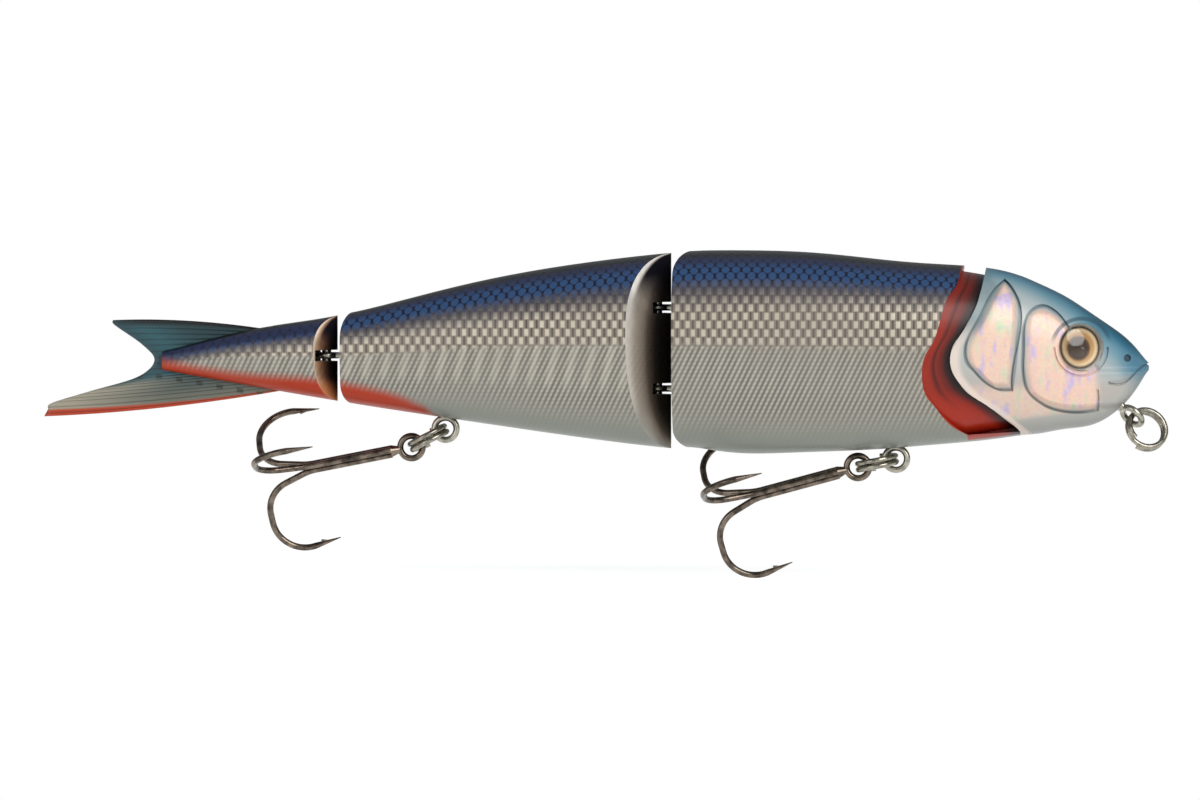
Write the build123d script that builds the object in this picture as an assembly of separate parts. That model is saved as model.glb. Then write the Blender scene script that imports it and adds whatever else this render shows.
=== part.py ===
from build123d import *
import os
from math import cos, radians, sin

# A jointed swimbait lure: three hollow bodies on two vertical hinge pins, a soft tail fin,
# a line ring, and two treble hooks on split rings.
# Frame in mm: the origin is the tow point (centre of the line ring), +X runs to the head,
# +Z to the back, and the two halves of every body meet on the plane Y = 0.

# ---- driving dimensions ---------------------------------------------------------------
BODY_LENGTH = 169.4        # snout to the end of the tail body
BODY_DEPTH = 34.6          # deepest section, back to belly
BODY_WIDTH = 24.0          # widest section
SNOUT_X = 0.3              # snout ahead of the tow point
SNOUT_Z = 10.6             # snout above the tow point
WIDEST = 0.60              # height of the widest line, as a share of the section's depth
FULLNESS = 0.66            # 0.55 makes a section of two half ellipses, more makes it fuller

SHELL_WALL = 1.8
SOLID_HEAD = 38.8          # the cavity starts this far behind the snout
END_WALL = 6.4             # plastic in the ends that hold hinge eyes
NOSE_WALL = 8.5            # from a hinge pin to the cavity behind it
FIT = 0.04                 # clearance of a piece gripped between two halves
PIN_FIT = 0.08             # radial running clearance of a hinge eye on its pin

MAIN_PIN_X = -83.8
MAIN_NOSE_RADIUS = 2.35    # rounded front of the middle body, about its pin
MAIN_SWING = 35.0          # each way
MAIN_GAP = 0.75            # between the rounded nose and the flat end it faces
TAIL_PIN_X = -140.8
TAIL_NOSE_RADIUS = 1.9
TAIL_SWING = 40.0
TAIL_GAP = 0.9
PIN_DIAMETER = 1.6
PIN_COVER = 3.2            # plastic left over each end of a pin
UPPER_EYE_Z = 20.6
LOWER_EYE_Z = 6.7
TAIL_EYE_Z = 12.3
SLOT_CLEARANCE = 0.4       # round a hinge eye in the slot that it swings in

EYE_WIRE = 1.1             # line tie, hangers and hinge eyes
EYE_HOLE = 2.7             # hole of the line tie and of the hangers
ANCHOR_BAR = 4.4           # length of the bar that locks a wire eye in the plastic
ANCHOR_DEPTH = 5.0         # from the plastic's face to the middle of the bar

LINE_TIE_DROP = 40.0       # degrees below level
LINE_TIE_ROLL = 56.0       # degrees that the loop is turned out of the upright
LINE_TIE_STEM = 4.2        # middle of the loop to the chin
HANGER_STEM = 1.9          # middle of a hanger's loop to the belly
FRONT_HANGER_X = -42.9
REAR_HANGER_X = -120.3
HANGER_DEPTH = 5.2
BOSS_WALL = 2.2            # plastic round the locking bar of a hanger

RING_OUTSIDE = 7.6
RING_WIRE = 0.95
RING_PITCH = 1.0           # one turn beside the next
FRONT_RING_DROP = 8.0      # degrees below level, running aft
REAR_RING_DROP = 24.0

HOOK_WIRE = 1.1
HOOK_EYE_HOLE = 2.75
HOOK_SHANK = 17.0          # middle of the hook's eye to where the wires part
HOOK_FLARE = 17.0          # degrees
HOOK_FLARE_RADIUS = 8.0
HOOK_FLARE_RUN = 3.4
HOOK_BEND_IN = 5.2         # radius of the bend's first half
HOOK_BEND_FLAT = 1.5
HOOK_BEND_OUT = 5.6        # radius of its second half
HOOK_POINT = 4.6           # length of the tapered point
HOOK_POINT_TURN = 8.0      # degrees that the point leans to the shank
HOOK_TIP = 0.16            # width left at the very tip
BARB_FOOT = 1.4            # back edge of the barb from the start of the point
BARB_LENGTH = 2.0
BARB_RISE = 0.75
BARB_THICKNESS = 0.32
HOOK_ROLL = 15.0           # degrees that the lowest hook is turned aside
FRONT_HOOK_DROP = 15.2
REAR_HOOK_DROP = 11.2

EYE_X = -11.1
EYE_Z = 14.0
EYE_DIAMETER = 8.0
EYE_POCKET = 1.7
IRIS_THICKNESS = 0.4
LENS_EDGE = 0.35           # upright edge of the lens over the flank
LENS_DOME = 0.9

GILL_DEPTH = 1.4           # step from the gill cover down to the gill
GILL_RUN = 12.0            # the gill rises to the flank over this length
GROOVE = 0.45              # width of the lines moulded into the head
GROOVE_DEPTH = 0.4
BROW_RADIUS = 5.1
NOSTRIL_X = -3.3
NOSTRIL_Z = 12.1
NOSTRIL_DIAMETER = 1.2

FIN_THICKNESS = 1.0
FIN_ROOT_X = -150.0
FIN_LENGTH = 39.7          # root to the lower tip
FIN_HEIGHT = 16.6          # lower tip to upper tip
FIN_LOW_Z = 1.7            # lower tip
FIN_PEG = 2.4              # moulded pegs that hold the fin
FIN_PEG_PLACES = (-153.6, -161.0)

FRONT_BALLAST_DIAMETER = 8.0
FRONT_BALLAST_ENDS = (-71.5, -50.5)
MIDDLE_BALLAST_DIAMETER = 6.0
MIDDLE_BALLAST_ENDS = (-111.5, -97.5)
BALLAST_LIFT = 0.75        # rod's middle over the inner floor, in its diameters
RIB = 1.8                  # thickness of a rib that carries a ballast rod
RIB_INSET = 2.0            # from a rod's end to its rib
RIB_RISE = 3.0             # rib over the rod

# Form of the whole fish at stations from snout (0) to tail (1): height of the back and of
# the belly over the snout as shares of BODY_DEPTH, and width as a share of BODY_WIDTH.
FORM = (
    (0.000, 0.017, -0.017, 0.075),
    (0.021, 0.133, -0.165, 0.205),
    (0.050, 0.237, -0.275, 0.385),
    (0.092, 0.367, -0.315, 0.625),
    (0.149, 0.475, -0.355, 0.845),
    (0.234, 0.512, -0.396, 0.967),
    (0.368, 0.569, -0.431, 1.000),
    (0.486, 0.558, -0.407, 0.950),
    (0.651, 0.445, -0.303, 0.742),
    (0.816, 0.254, -0.182, 0.475),
    (0.917, 0.170, -0.098, 0.292),
    (1.000, 0.068, -0.026, 0.142),
)

# Lines of the head in the side view: shares of BODY_LENGTH behind the snout and of
# BODY_DEPTH over it.
GILL_REAR = ((0.188, 0.590), (0.190, 0.440), (0.202, 0.330), (0.212, 0.162), (0.226, -0.040),
             (0.211, -0.208), (0.182, -0.335))
GILL_FORE = ((0.129, -0.320), (0.159, -0.197), (0.188, -0.081), (0.198, 0.038), (0.182, 0.202),
             (0.169, 0.350), (0.166, 0.590))
OPERCLE_FORE = ((0.144, 0.434), (0.133, 0.370), (0.127, 0.290), (0.129, 0.127), (0.135, -0.116))
OPERCLE_REAR = ((0.135, -0.116), (0.152, -0.110), (0.174, -0.026), (0.184, 0.058), (0.169, 0.257),
                (0.157, 0.370), (0.144, 0.434))
CHEEK_REAR = ((0.084, 0.234), (0.095, 0.289), (0.106, 0.309), (0.119, 0.280), (0.126, 0.098),
              (0.122, -0.116), (0.109, -0.179), (0.092, -0.217), (0.050, -0.217))
CHEEK_FORE = ((0.050, -0.217), (0.050, -0.110), (0.067, 0.098), (0.084, 0.234))
MOUTH = ((0.000, 0.017), (0.010, -0.006), (0.019, -0.052), (0.040, -0.072))

# Outline of the fin: shares of FIN_LENGTH behind its root and of FIN_HEIGHT over its lower tip.
FIN_TOP = ((0.000, 0.898), (0.222, 0.964), (0.441, 1.000), (0.700, 1.000))
FIN_FORK = ((0.705, 0.964), (0.569, 0.741), (0.519, 0.578), (0.594, 0.410), (0.980, 0.133))
FIN_UNDER = ((1.000, 0.000), (0.549, 0.078), (0.227, 0.175), (0.000, 0.247))
ROUNDING_OVER = 0.15       # a rounding crosses the outline instead of just touching it
FAR = 2 * BODY_DEPTH       # reach of a cut that goes right through


# ---- the fish form --------------------------------------------------------------------
def form_at(x):
    """Back, belly and half width at x: a cubic through FORM with central slopes."""
    u = min(max((SNOUT_X - x) / BODY_LENGTH, 0.0), 1.0)
    i = max(j for j in range(len(FORM) - 1) if FORM[j][0] <= u)
    a, b = FORM[i], FORM[i + 1]
    before, after = FORM[max(i - 1, 0)], FORM[min(i + 2, len(FORM) - 1)]
    step = b[0] - a[0]
    t = (u - a[0]) / step
    values = []
    for k in (1, 2, 3):
        slope_a = (b[k] - before[k]) / (b[0] - before[0]) * step
        slope_b = (after[k] - a[k]) / (after[0] - a[0]) * step
        values.append(a[k] * (2 * t**3 - 3 * t**2 + 1) + slope_a * (t**3 - 2 * t**2 + t)
                      + b[k] * (3 * t**2 - 2 * t**3) + slope_b * (t**3 - t**2))
    back, belly, width = values
    return SNOUT_Z + back * BODY_DEPTH, SNOUT_Z + belly * BODY_DEPTH, width * BODY_WIDTH / 2


def half_section(x, inset=0.0):
    """The left half of the section at x, drawn inset all round but not at Y = 0."""
    back, belly, half = form_at(x)
    middle = belly + WIDEST * (back - belly)
    back, belly, half = back - inset, belly + inset, half - inset
    k = FULLNESS
    upper = Bezier((x, 0, back), (x, k * half, back),
                   (x, half, middle + k * (back - middle)), (x, half, middle))
    lower = Bezier((x, half, middle), (x, half, middle + k * (belly - middle)),
                   (x, k * half, belly), (x, 0, belly))
    return Face(Wire([upper, lower, Line((x, 0, belly), (x, 0, back))]))


def half_form(fore, aft, inset=0.0):
    """The left half of the fish from x = fore back to x = aft, lofted with close sections."""
    stations = [SNOUT_X - row[0] * BODY_LENGTH for row in FORM]
    stations += [(a + b) / 2 for a, b in zip(stations, stations[1:])]
    inner = [x for x in stations if aft + 1.5 < x < fore - 1.0]
    places = sorted({fore, aft, *inner}, reverse=True)
    insets = inset if callable(inset) else (lambda x: inset)
    return loft([half_section(x, insets(x)) for x in places])


def flank_point(x, z):
    """Half width of the form at x and z."""
    back, belly, half = form_at(x)
    middle = belly + WIDEST * (back - belly)
    rise = (z - middle) / ((back if z > middle else belly) - middle)
    low, high = 0.0, 1.0
    for _ in range(40):
        t = (low + high) / 2
        height = 3 * (1 - t)**2 * t * FULLNESS + 3 * (1 - t) * t**2 + t**3
        low, high = (t, high) if height < rise else (low, t)
    return half * ((1 - t)**3 + 3 * (1 - t)**2 * t + 3 * (1 - t) * t**2 * FULLNESS)


def flank_plane(x, z):
    """A plane on the left flank at x and z, its Z axis along the outward normal."""
    d = 0.5
    along = (flank_point(x + d, z) - flank_point(x - d, z)) / (2 * d)
    up = (flank_point(x, z + d) - flank_point(x, z - d)) / (2 * d)
    return Plane(origin=(x, flank_point(x, z), z), x_dir=(1, along, 0), z_dir=(-along, 1, -up))


def block(x0, x1, y0, y1, z0, z1):
    return Pos((x0 + x1) / 2, (y0 + y1) / 2, (z0 + z1) / 2) * Box(x1 - x0, y1 - y0, z1 - z0)


def prism(outline, reach=FAR):
    """An outline drawn in X and Z, made solid from Y = 0 outwards to the left."""
    return extrude(Plane.XZ * outline, amount=-reach)


def wedge_nose(pin_x, radius, swing):
    """All that lies behind a V nose, rounded about the pin."""
    sharp = pin_x + radius / cos(radians(swing))
    run = FAR * sin(radians(swing))
    side = FAR * cos(radians(swing))
    plan = Polygon((sharp, 0), (sharp - run, side), (sharp - run - FAR * 4, side),
                   (sharp - run - FAR * 4, -side), (sharp - run, -side), align=None)
    tip = plan.vertices().sort_by(Axis.X)[-1]
    return Pos(0, 0, -FAR) * extrude(fillet(tip, radius), amount=2 * FAR)


def end_rounding(x, wide, high, back):
    """What an elliptical rounding takes off the aft end at x, at its back or belly corner."""
    toward = 1 if back else -1
    edge = form_at(x + wide)[0 if back else 1] + toward * ROUNDING_OVER
    centre = (x + wide, edge - toward * high)
    corner = Rectangle(wide + 1, high + 2, align=(Align.MAX, Align.MIN if back else Align.MAX))
    kept = Ellipse(wide, high)
    return extrude(Plane.XZ * Pos(*centre) * (corner - kept), amount=BODY_WIDTH, both=True)


# ---- wire eyes and pins ---------------------------------------------------------------
def wire_eye(hole, stem, depth):
    """A bent wire eye: loop round Z at the origin, legs along +X, a bar across the end."""
    ring = Torus((hole + EYE_WIRE) / 2, EYE_WIRE / 2)
    return ring + eye_anchor(hole, stem, depth)


def eye_anchor(hole, stem, depth, grow=0.0):
    """The two legs and the bar, grown by a clearance if asked."""
    start = (hole + EYE_WIRE) / 2 * 0.9
    end = stem + depth
    leg = Cylinder(EYE_WIRE / 2 + grow, end - start, rotation=(0, 90, 0),
                   align=(Align.CENTER, Align.CENTER, Align.MIN))
    legs = [Pos(start, side * 0.42 * EYE_WIRE, 0) * leg for side in (-1, 1)]
    bar = Pos(end, 0, 0) * Cylinder(EYE_WIRE / 2 + grow, ANCHOR_BAR + 2 * grow, rotation=(90, 0, 0))
    return legs[0] + legs[1] + bar


def eye_socket(hole, stem, depth):
    """What a wire eye takes out of the plastic that grips it."""
    loop = Torus((hole + EYE_WIRE) / 2, EYE_WIRE / 2 + FIT)
    return eye_anchor(hole, stem, depth, FIT) + loop


def hinge_hole():
    return PIN_DIAMETER + 2 * PIN_FIT


def pin_ends(x):
    back, belly, _ = form_at(x)
    return belly + PIN_COVER, back - PIN_COVER


def upright(x, low, high, radius):
    post = Cylinder(radius, high - low, align=(Align.CENTER, Align.CENTER, Align.MIN))
    return Pos(x, 0, low) * post


def hinge_slot(pin_x, radius, z):
    """The cross slot in a nose that a hinge eye swings in."""
    reach = hinge_hole() / 2 + EYE_WIRE + SLOT_CLEARANCE
    high = EYE_WIRE / 2 + SLOT_CLEARANCE
    wide = 2 * reach
    return block(pin_x - reach, pin_x + radius + 1, -wide, wide, z - high, z + high)


def lying_rod(ends, z, radius):
    return Pos(ends[0], 0, z) * Cylinder(radius, ends[1] - ends[0], rotation=(0, 90, 0),
                                         align=(Align.CENTER, Align.CENTER, Align.MIN))


# ---- split rings and treble hooks -----------------------------------------------------
RING_RADIUS = (RING_OUTSIDE - RING_WIRE) / 2
HOOK_EYE_RADIUS = (HOOK_EYE_HOLE + HOOK_WIRE) / 2
HOOK_NECK = HOOK_EYE_RADIUS + 1.6
HOOK_BUNDLE = HOOK_WIRE * 0.59      # shank to the axis, so that three just clear each other
HOOK_TURNS = (0, 120, 240)


def split_ring():
    """Two turns of wire round Z, their ends at -Y. The links pass at -X and +X."""
    path = Helix(RING_PITCH, 1.95 * RING_PITCH, RING_RADIUS)
    path = Pos(0, 0, -0.975 * RING_PITCH) * Rot(0, 0, -90 + 9) * path
    section = Plane(origin=path @ 0, z_dir=path % 0) * Circle(RING_WIRE / 2)
    return sweep(section, path, is_frenet=True)


def ring_links():
    """Middle of the two turns at +X (the carrying link) and at -X (the carried one)."""
    off = RING_PITCH / 4
    return Vector(RING_RADIUS, 0, -off), Vector(-RING_RADIUS, 0, off)


def hook_path():
    """One hook of a treble past the shank: X runs along the shank from the eye, Z out from it."""
    shank = Line((HOOK_NECK, 0, HOOK_BUNDLE), (HOOK_SHANK, 0, HOOK_BUNDLE))
    flare = bend(shank, HOOK_FLARE_RADIUS, HOOK_FLARE)
    run = PolarLine(flare @ 1, HOOK_FLARE_RUN, direction=flare % 1)
    first = bend(run, HOOK_BEND_IN, 90 - HOOK_FLARE)
    flat = PolarLine(first @ 1, HOOK_BEND_FLAT, direction=first % 1)
    second = bend(flat, HOOK_BEND_OUT, 90 + HOOK_POINT_TURN)
    return Wire([flare, run, first, flat, second])


def bend(before, radius, turn):
    """An arc that goes on from a line or arc in X and Z and turns outwards."""
    start, heading = before @ 1, before % 1
    side = Vector(-heading.Z, 0, heading.X)
    a = radians(turn)
    middle = start + heading * (radius * sin(a / 2)) + side * (radius * (1 - cos(a / 2)))
    end = start + heading * (radius * sin(a)) + side * (radius * (1 - cos(a)))
    return ThreePointArc(start, middle, end)


def hook():
    path = hook_path()
    wire = sweep(Plane(origin=path @ 0, z_dir=path % 0) * Circle(HOOK_WIRE / 2), path)
    end, heading = path @ 1, path % 1
    tip_plane = Plane(origin=end, z_dir=heading)
    point = tip_plane * Cone(HOOK_WIRE / 2, HOOK_TIP / 2, HOOK_POINT,
                             align=(Align.CENTER, Align.CENTER, Align.MIN))
    heel = end + heading * (BARB_FOOT - BARB_LENGTH * 0.25)
    lifted = end + heading * (BARB_FOOT - BARB_LENGTH * 0.10) - Vector(0, 0, BARB_RISE)
    toe = end + heading * (BARB_FOOT + BARB_LENGTH * 0.75)
    barb = make_face(Polyline(toe, lifted, heel, close=True))
    barb = extrude(barb, amount=BARB_THICKNESS / 2, dir=(0, 1, 0), both=True)
    return wire + point + barb


def hook_shank():
    """The three shanks brazed together, with a neck to the eye."""
    outline = Circle(HOOK_WIRE * 0.45)
    for turn in HOOK_TURNS:
        outline += Rot(0, 0, turn) * Pos(0, HOOK_BUNDLE) * Circle(HOOK_WIRE / 2)
    wires = extrude(outline, amount=HOOK_SHANK - HOOK_NECK)
    neck = Cone(HOOK_WIRE / 2, HOOK_WIRE * 0.95, HOOK_NECK - HOOK_EYE_RADIUS,
                align=(Align.CENTER, Align.CENTER, Align.MIN))
    return Plane.YZ * (Pos(0, 0, HOOK_NECK) * wires + Pos(0, 0, HOOK_EYE_RADIUS) * neck)


def treble_hook():
    """Eye round Y at the origin, shank along +X, lowest hook towards +Z."""
    eye = Torus(HOOK_EYE_RADIUS, HOOK_WIRE / 2, rotation=(90, 0, 0))
    treble = eye + Rot(-HOOK_ROLL, 0, 0) * hook_shank()
    for turn in HOOK_TURNS:
        treble = treble + Rot(turn - HOOK_ROLL, 0, 0) * hook()
    return treble


# ---- where the running gear sits ------------------------------------------------------
def level(drop):
    """Unit vector running aft, drop degrees below level."""
    return Vector(-cos(radians(drop)), 0, -sin(radians(drop)))


def hanger_centre(x):
    return Vector(x, 0, form_at(x)[1] - HANGER_STEM)


def hanger_plane(x):
    """Loop round Y, legs up."""
    return Plane(origin=hanger_centre(x), x_dir=(0, 0, 1), z_dir=(0, 1, 0))


def carried_plane(origin, drop, link):
    """A plane whose -X runs aft with a drop and whose +Z is down, its point `link` at origin."""
    aft = level(drop)
    plane = Plane(origin=(0, 0, 0), x_dir=aft * -1, z_dir=(-aft.Z, 0, aft.X))
    shift = plane.x_dir * link.X + plane.z_dir * link.Z
    return Plane(origin=origin - shift, x_dir=plane.x_dir, z_dir=plane.z_dir)


def hook_gear(hanger_x, ring_drop, hook_drop):
    """A split ring on a hanger and the treble hook on the ring."""
    near, far = ring_links()
    seat = carried_plane(hanger_centre(hanger_x), ring_drop, near)
    ring = seat * split_ring()
    eye = seat.origin + seat.x_dir * far.X + seat.z_dir * far.Z
    aft = level(hook_drop)
    treble = Plane(origin=eye, x_dir=aft, z_dir=(-aft.Z, 0, aft.X)) * treble_hook()
    return ring, treble, eye


def tie_axes():
    down = radians(LINE_TIE_DROP)
    roll = radians(LINE_TIE_ROLL)
    stem = Vector(cos(down), 0, -sin(down))
    across = Vector(sin(down), 0, cos(down))
    hole = Vector(0, 1, 0) * cos(roll) + across * sin(roll)
    return stem, hole


def line_tie_plane():
    stem, hole = tie_axes()
    return Plane(origin=stem * -RING_RADIUS, x_dir=stem * -1, z_dir=hole)


def line_ring():
    """Centred on the origin, through the line tie's loop."""
    stem, hole = tie_axes()
    near, _ = ring_links()
    seat = Plane(origin=(0, 0, 0), x_dir=stem * -1, z_dir=(stem * -1).cross(hole))
    return Plane(origin=seat.z_dir * -near.Z, x_dir=seat.x_dir, z_dir=seat.z_dir) * split_ring()


# ---- the three bodies -----------------------------------------------------------------
FRONT_END_X = MAIN_PIN_X + MAIN_NOSE_RADIUS + MAIN_GAP
MIDDLE_END_X = TAIL_PIN_X + TAIL_NOSE_RADIUS + TAIL_GAP
TAIL_END_X = SNOUT_X - BODY_LENGTH


def ballast_height(ends, diameter):
    """Low in the belly, clear of the wall at both ends."""
    floor = max(form_at(x)[1] for x in ends) + SHELL_WALL
    return floor + diameter * BALLAST_LIFT


FRONT_BALLAST_Z = ballast_height(FRONT_BALLAST_ENDS, FRONT_BALLAST_DIAMETER)
MIDDLE_BALLAST_Z = ballast_height(MIDDLE_BALLAST_ENDS, MIDDLE_BALLAST_DIAMETER)


def hanger_boss(x):
    """Solid plastic round a hanger's legs."""
    belly = form_at(x)[1]
    half = ANCHOR_BAR / 2 + BOSS_WALL
    return block(x - half, x + half, -FAR, FAR, -FAR, belly + HANGER_DEPTH + BOSS_WALL)


def ballast_ribs(ends, z, radius):
    """Two ribs, one near each end of a ballast rod, with the rod's hole."""
    ribs = []
    for x in (ends[0] + RIB_INSET, ends[1] - RIB_INSET - RIB):
        rib = block(x, x + RIB, -FAR, FAR, -FAR, z + radius + RIB_RISE)
        ribs.append(rib - lying_rod(ends, z, radius + FIT))
    return ribs


def cavity(fore, aft, wall, kept):
    space = half_form(fore, aft, wall)
    for piece in kept:
        space = space - piece
    return space


def spline_outline(*runs):
    """A closed outline of splines and lines that meet in corners, the gaps closed by lines."""
    edges = []
    for run, after in zip(runs, runs[1:] + runs[:1]):
        edges.append(Spline(*run))
        if run[-1] != after[0]:
            edges.append(Line(run[-1], after[0]))
    return make_face(Wire(edges))


def on_head(rows):
    """Points of the side view from shares of the form's length and depth."""
    return [(SNOUT_X - u * BODY_LENGTH, SNOUT_Z + v * BODY_DEPTH) for u, v in rows]


def gill_cut():
    """The gill: steepest at the gill cover's edge, rising to the flank behind it."""
    outline = spline_outline(on_head(GILL_REAR), on_head(GILL_FORE))
    fore = max(x for x, _ in on_head(GILL_FORE)) + 1.5
    aft = min(x for x, _ in on_head(GILL_REAR)) - 2.0
    floor = half_form(fore, aft, lambda x: GILL_DEPTH * min(max((x - aft) / GILL_RUN, 0.05), 1.0))
    return prism(outline) - floor


def line_round(*runs):
    """A line moulded round an outline of splines, just inside it."""
    xs, zs = zip(*[point for run in runs for point in run])
    wide, high = max(xs) - min(xs), max(zs) - min(zs)
    middle_x, middle_z = min(xs) + wide / 2, min(zs) + high / 2
    narrow, low = 1 - 2 * GROOVE / wide, 1 - 2 * GROOVE / high
    inner = [[(middle_x + (x - middle_x) * narrow, middle_z + (z - middle_z) * low) for x, z in run]
             for run in runs]
    return prism(spline_outline(*runs)) - prism(spline_outline(*inner))


def mouth_line():
    upper = on_head(MOUTH)
    lower = [(x, z - GROOVE) for x, z in reversed(upper)]
    return prism(spline_outline(upper, lower))


def brow_line():
    """An arc round the upper front of the eye, square to the flank there."""
    ring = Circle(BROW_RADIUS) - Circle(BROW_RADIUS - GROOVE)
    ring = ring - Pos(0, -BROW_RADIUS) * Rectangle(4 * BROW_RADIUS, 2 * BROW_RADIUS)
    return extrude(flank_plane(EYE_X, EYE_Z) * Pos(0, 0, -EYE_POCKET) * ring, amount=2 * BROW_RADIUS)


def head_lines():
    """What the lines of gill cover, cheek, brow, mouth and nostril take off the head."""
    opercle = line_round(on_head(OPERCLE_FORE), on_head(OPERCLE_REAR))
    cheek = line_round(on_head(CHEEK_REAR), on_head(CHEEK_FORE))
    slit_top = on_head(CHEEK_FORE)[1][1]
    open_front = block(EYE_X - EYE_DIAMETER / 4, SNOUT_X, -FAR, FAR, slit_top, FAR)
    nostril = flank_plane(NOSTRIL_X, NOSTRIL_Z) * Cylinder(NOSTRIL_DIAMETER / 2, 2 * NOSTRIL_DIAMETER)
    under = half_form(SNOUT_X + 1.0, SNOUT_X - SOLID_HEAD, GROOVE_DEPTH)
    return [cut - under for cut in (opercle, cheek - open_front, brow_line(), mouth_line(), nostril)]


def front_half():
    kept = [hanger_boss(FRONT_HANGER_X)]
    kept += ballast_ribs(FRONT_BALLAST_ENDS, FRONT_BALLAST_Z, FRONT_BALLAST_DIAMETER / 2)
    body = half_form(SNOUT_X, FRONT_END_X)
    body = body - end_rounding(FRONT_END_X, 3.2, 4.0, True)
    body = body - end_rounding(FRONT_END_X, 5.0, 4.0, False)
    body = body - cavity(SNOUT_X - SOLID_HEAD, FRONT_END_X + END_WALL, SHELL_WALL, kept)
    body = body - gill_cut()
    for cut in head_lines():
        body = body - cut
    return body - flank_plane(EYE_X, EYE_Z) * eye_pocket()


def middle_half():
    kept = [hanger_boss(REAR_HANGER_X)]
    kept += ballast_ribs(MIDDLE_BALLAST_ENDS, MIDDLE_BALLAST_Z, MIDDLE_BALLAST_DIAMETER / 2)
    body = half_form(MAIN_PIN_X + 4, MIDDLE_END_X)
    body = body - cavity(MAIN_PIN_X - NOSE_WALL, MIDDLE_END_X + END_WALL, SHELL_WALL, kept)
    body = body & wedge_nose(MAIN_PIN_X, MAIN_NOSE_RADIUS, MAIN_SWING)
    body = body - end_rounding(MIDDLE_END_X, 2.4, 4.6, True)
    body = body - end_rounding(MIDDLE_END_X, 2.2, 3.5, False)
    low, high = pin_ends(MAIN_PIN_X)
    body = body - upright(MAIN_PIN_X, low - FIT, high + FIT, PIN_DIAMETER / 2 + FIT)
    for z in (UPPER_EYE_Z, LOWER_EYE_Z):
        body = body - hinge_slot(MAIN_PIN_X, MAIN_NOSE_RADIUS, z)
    return body


def tail_half():
    body = half_form(TAIL_PIN_X + 3, TAIL_END_X)
    body = body & wedge_nose(TAIL_PIN_X, TAIL_NOSE_RADIUS, TAIL_SWING)
    low, high = pin_ends(TAIL_PIN_X)
    body = body - upright(TAIL_PIN_X, low - FIT, high + FIT, PIN_DIAMETER / 2 + FIT)
    body = body - hinge_slot(TAIL_PIN_X, TAIL_NOSE_RADIUS, TAIL_EYE_Z)
    pocket = FIN_THICKNESS / 2 + FIT
    slot = block(TAIL_END_X - 2, FIN_ROOT_X + FIT, -pocket, pocket, -FAR, FAR)
    return body - (slot - fin_pegs(FIN_PEG / 2 - FIT))


def both_halves(left, sockets=()):
    right = mirror(left, about=Plane.XZ)
    for socket in sockets:
        left, right = left - socket, right - socket
    return left, right


def fin_pegs(radius):
    """Pegs across the fin's root, halfway up the tail body."""
    pegs = []
    for x in FIN_PEG_PLACES:
        back, belly, _ = form_at(x)
        pegs.append(Pos(x, 0, (back + belly) / 2) * Cylinder(radius, BODY_WIDTH, rotation=(90, 0, 0)))
    return pegs


def tail_fin():
    runs = []
    for run in (FIN_TOP, FIN_FORK, FIN_UNDER):
        runs.append([(FIN_ROOT_X - s * FIN_LENGTH, FIN_LOW_Z + t * FIN_HEIGHT) for s, t in run])
    blade = extrude(Plane.XZ * spline_outline(*runs), amount=FIN_THICKNESS / 2, both=True)
    return blade - fin_pegs(FIN_PEG / 2)


# ---- eyes -----------------------------------------------------------------------------
def iris():
    return Pos(0, 0, -EYE_POCKET) * Cylinder(EYE_DIAMETER / 2, IRIS_THICKNESS,
                                             align=(Align.CENTER, Align.CENTER, Align.MIN))


def eye_pocket():
    return Pos(0, 0, -EYE_POCKET) * Cylinder(EYE_DIAMETER / 2 + FIT, EYE_DIAMETER,
                                             align=(Align.CENTER, Align.CENTER, Align.MIN))


def lens():
    floor = -EYE_POCKET + IRIS_THICKNESS
    radius = EYE_DIAMETER / 2
    top = LENS_EDGE + LENS_DOME
    sphere = (radius**2 + LENS_DOME**2) / (2 * LENS_DOME)
    halfway = top - sphere + (sphere**2 - radius**2 / 4)**0.5
    profile = make_face(Wire([
        Line((0, 0, floor), (radius, 0, floor)),
        Line((radius, 0, floor), (radius, 0, LENS_EDGE)),
        ThreePointArc((radius, 0, LENS_EDGE), (radius / 2, 0, halfway), (0, 0, top)),
        Line((0, 0, top), (0, 0, floor))]))
    return revolve(profile, Axis.Z)


# ---- assembly -------------------------------------------------------------------------
def wire_eyes():
    """Each wire eye as its plane, hole, stem and depth."""
    hinge = hinge_hole()
    main = MAIN_NOSE_RADIUS + MAIN_GAP
    eyes = {
        "line_tie": (line_tie_plane(), EYE_HOLE, LINE_TIE_STEM, ANCHOR_DEPTH),
        "front_hanger": (hanger_plane(FRONT_HANGER_X), EYE_HOLE, HANGER_STEM, HANGER_DEPTH),
        "rear_hanger": (hanger_plane(REAR_HANGER_X), EYE_HOLE, HANGER_STEM, HANGER_DEPTH),
        "hinge_eye_upper": (Plane(origin=(MAIN_PIN_X, 0, UPPER_EYE_Z)), hinge, main, ANCHOR_DEPTH),
        "hinge_eye_lower": (Plane(origin=(MAIN_PIN_X, 0, LOWER_EYE_Z)), hinge, main, ANCHOR_DEPTH),
        "tail_hinge_eye": (Plane(origin=(TAIL_PIN_X, 0, TAIL_EYE_Z)), hinge,
                           TAIL_NOSE_RADIUS + TAIL_GAP, ANCHOR_DEPTH),
    }
    return eyes


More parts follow.
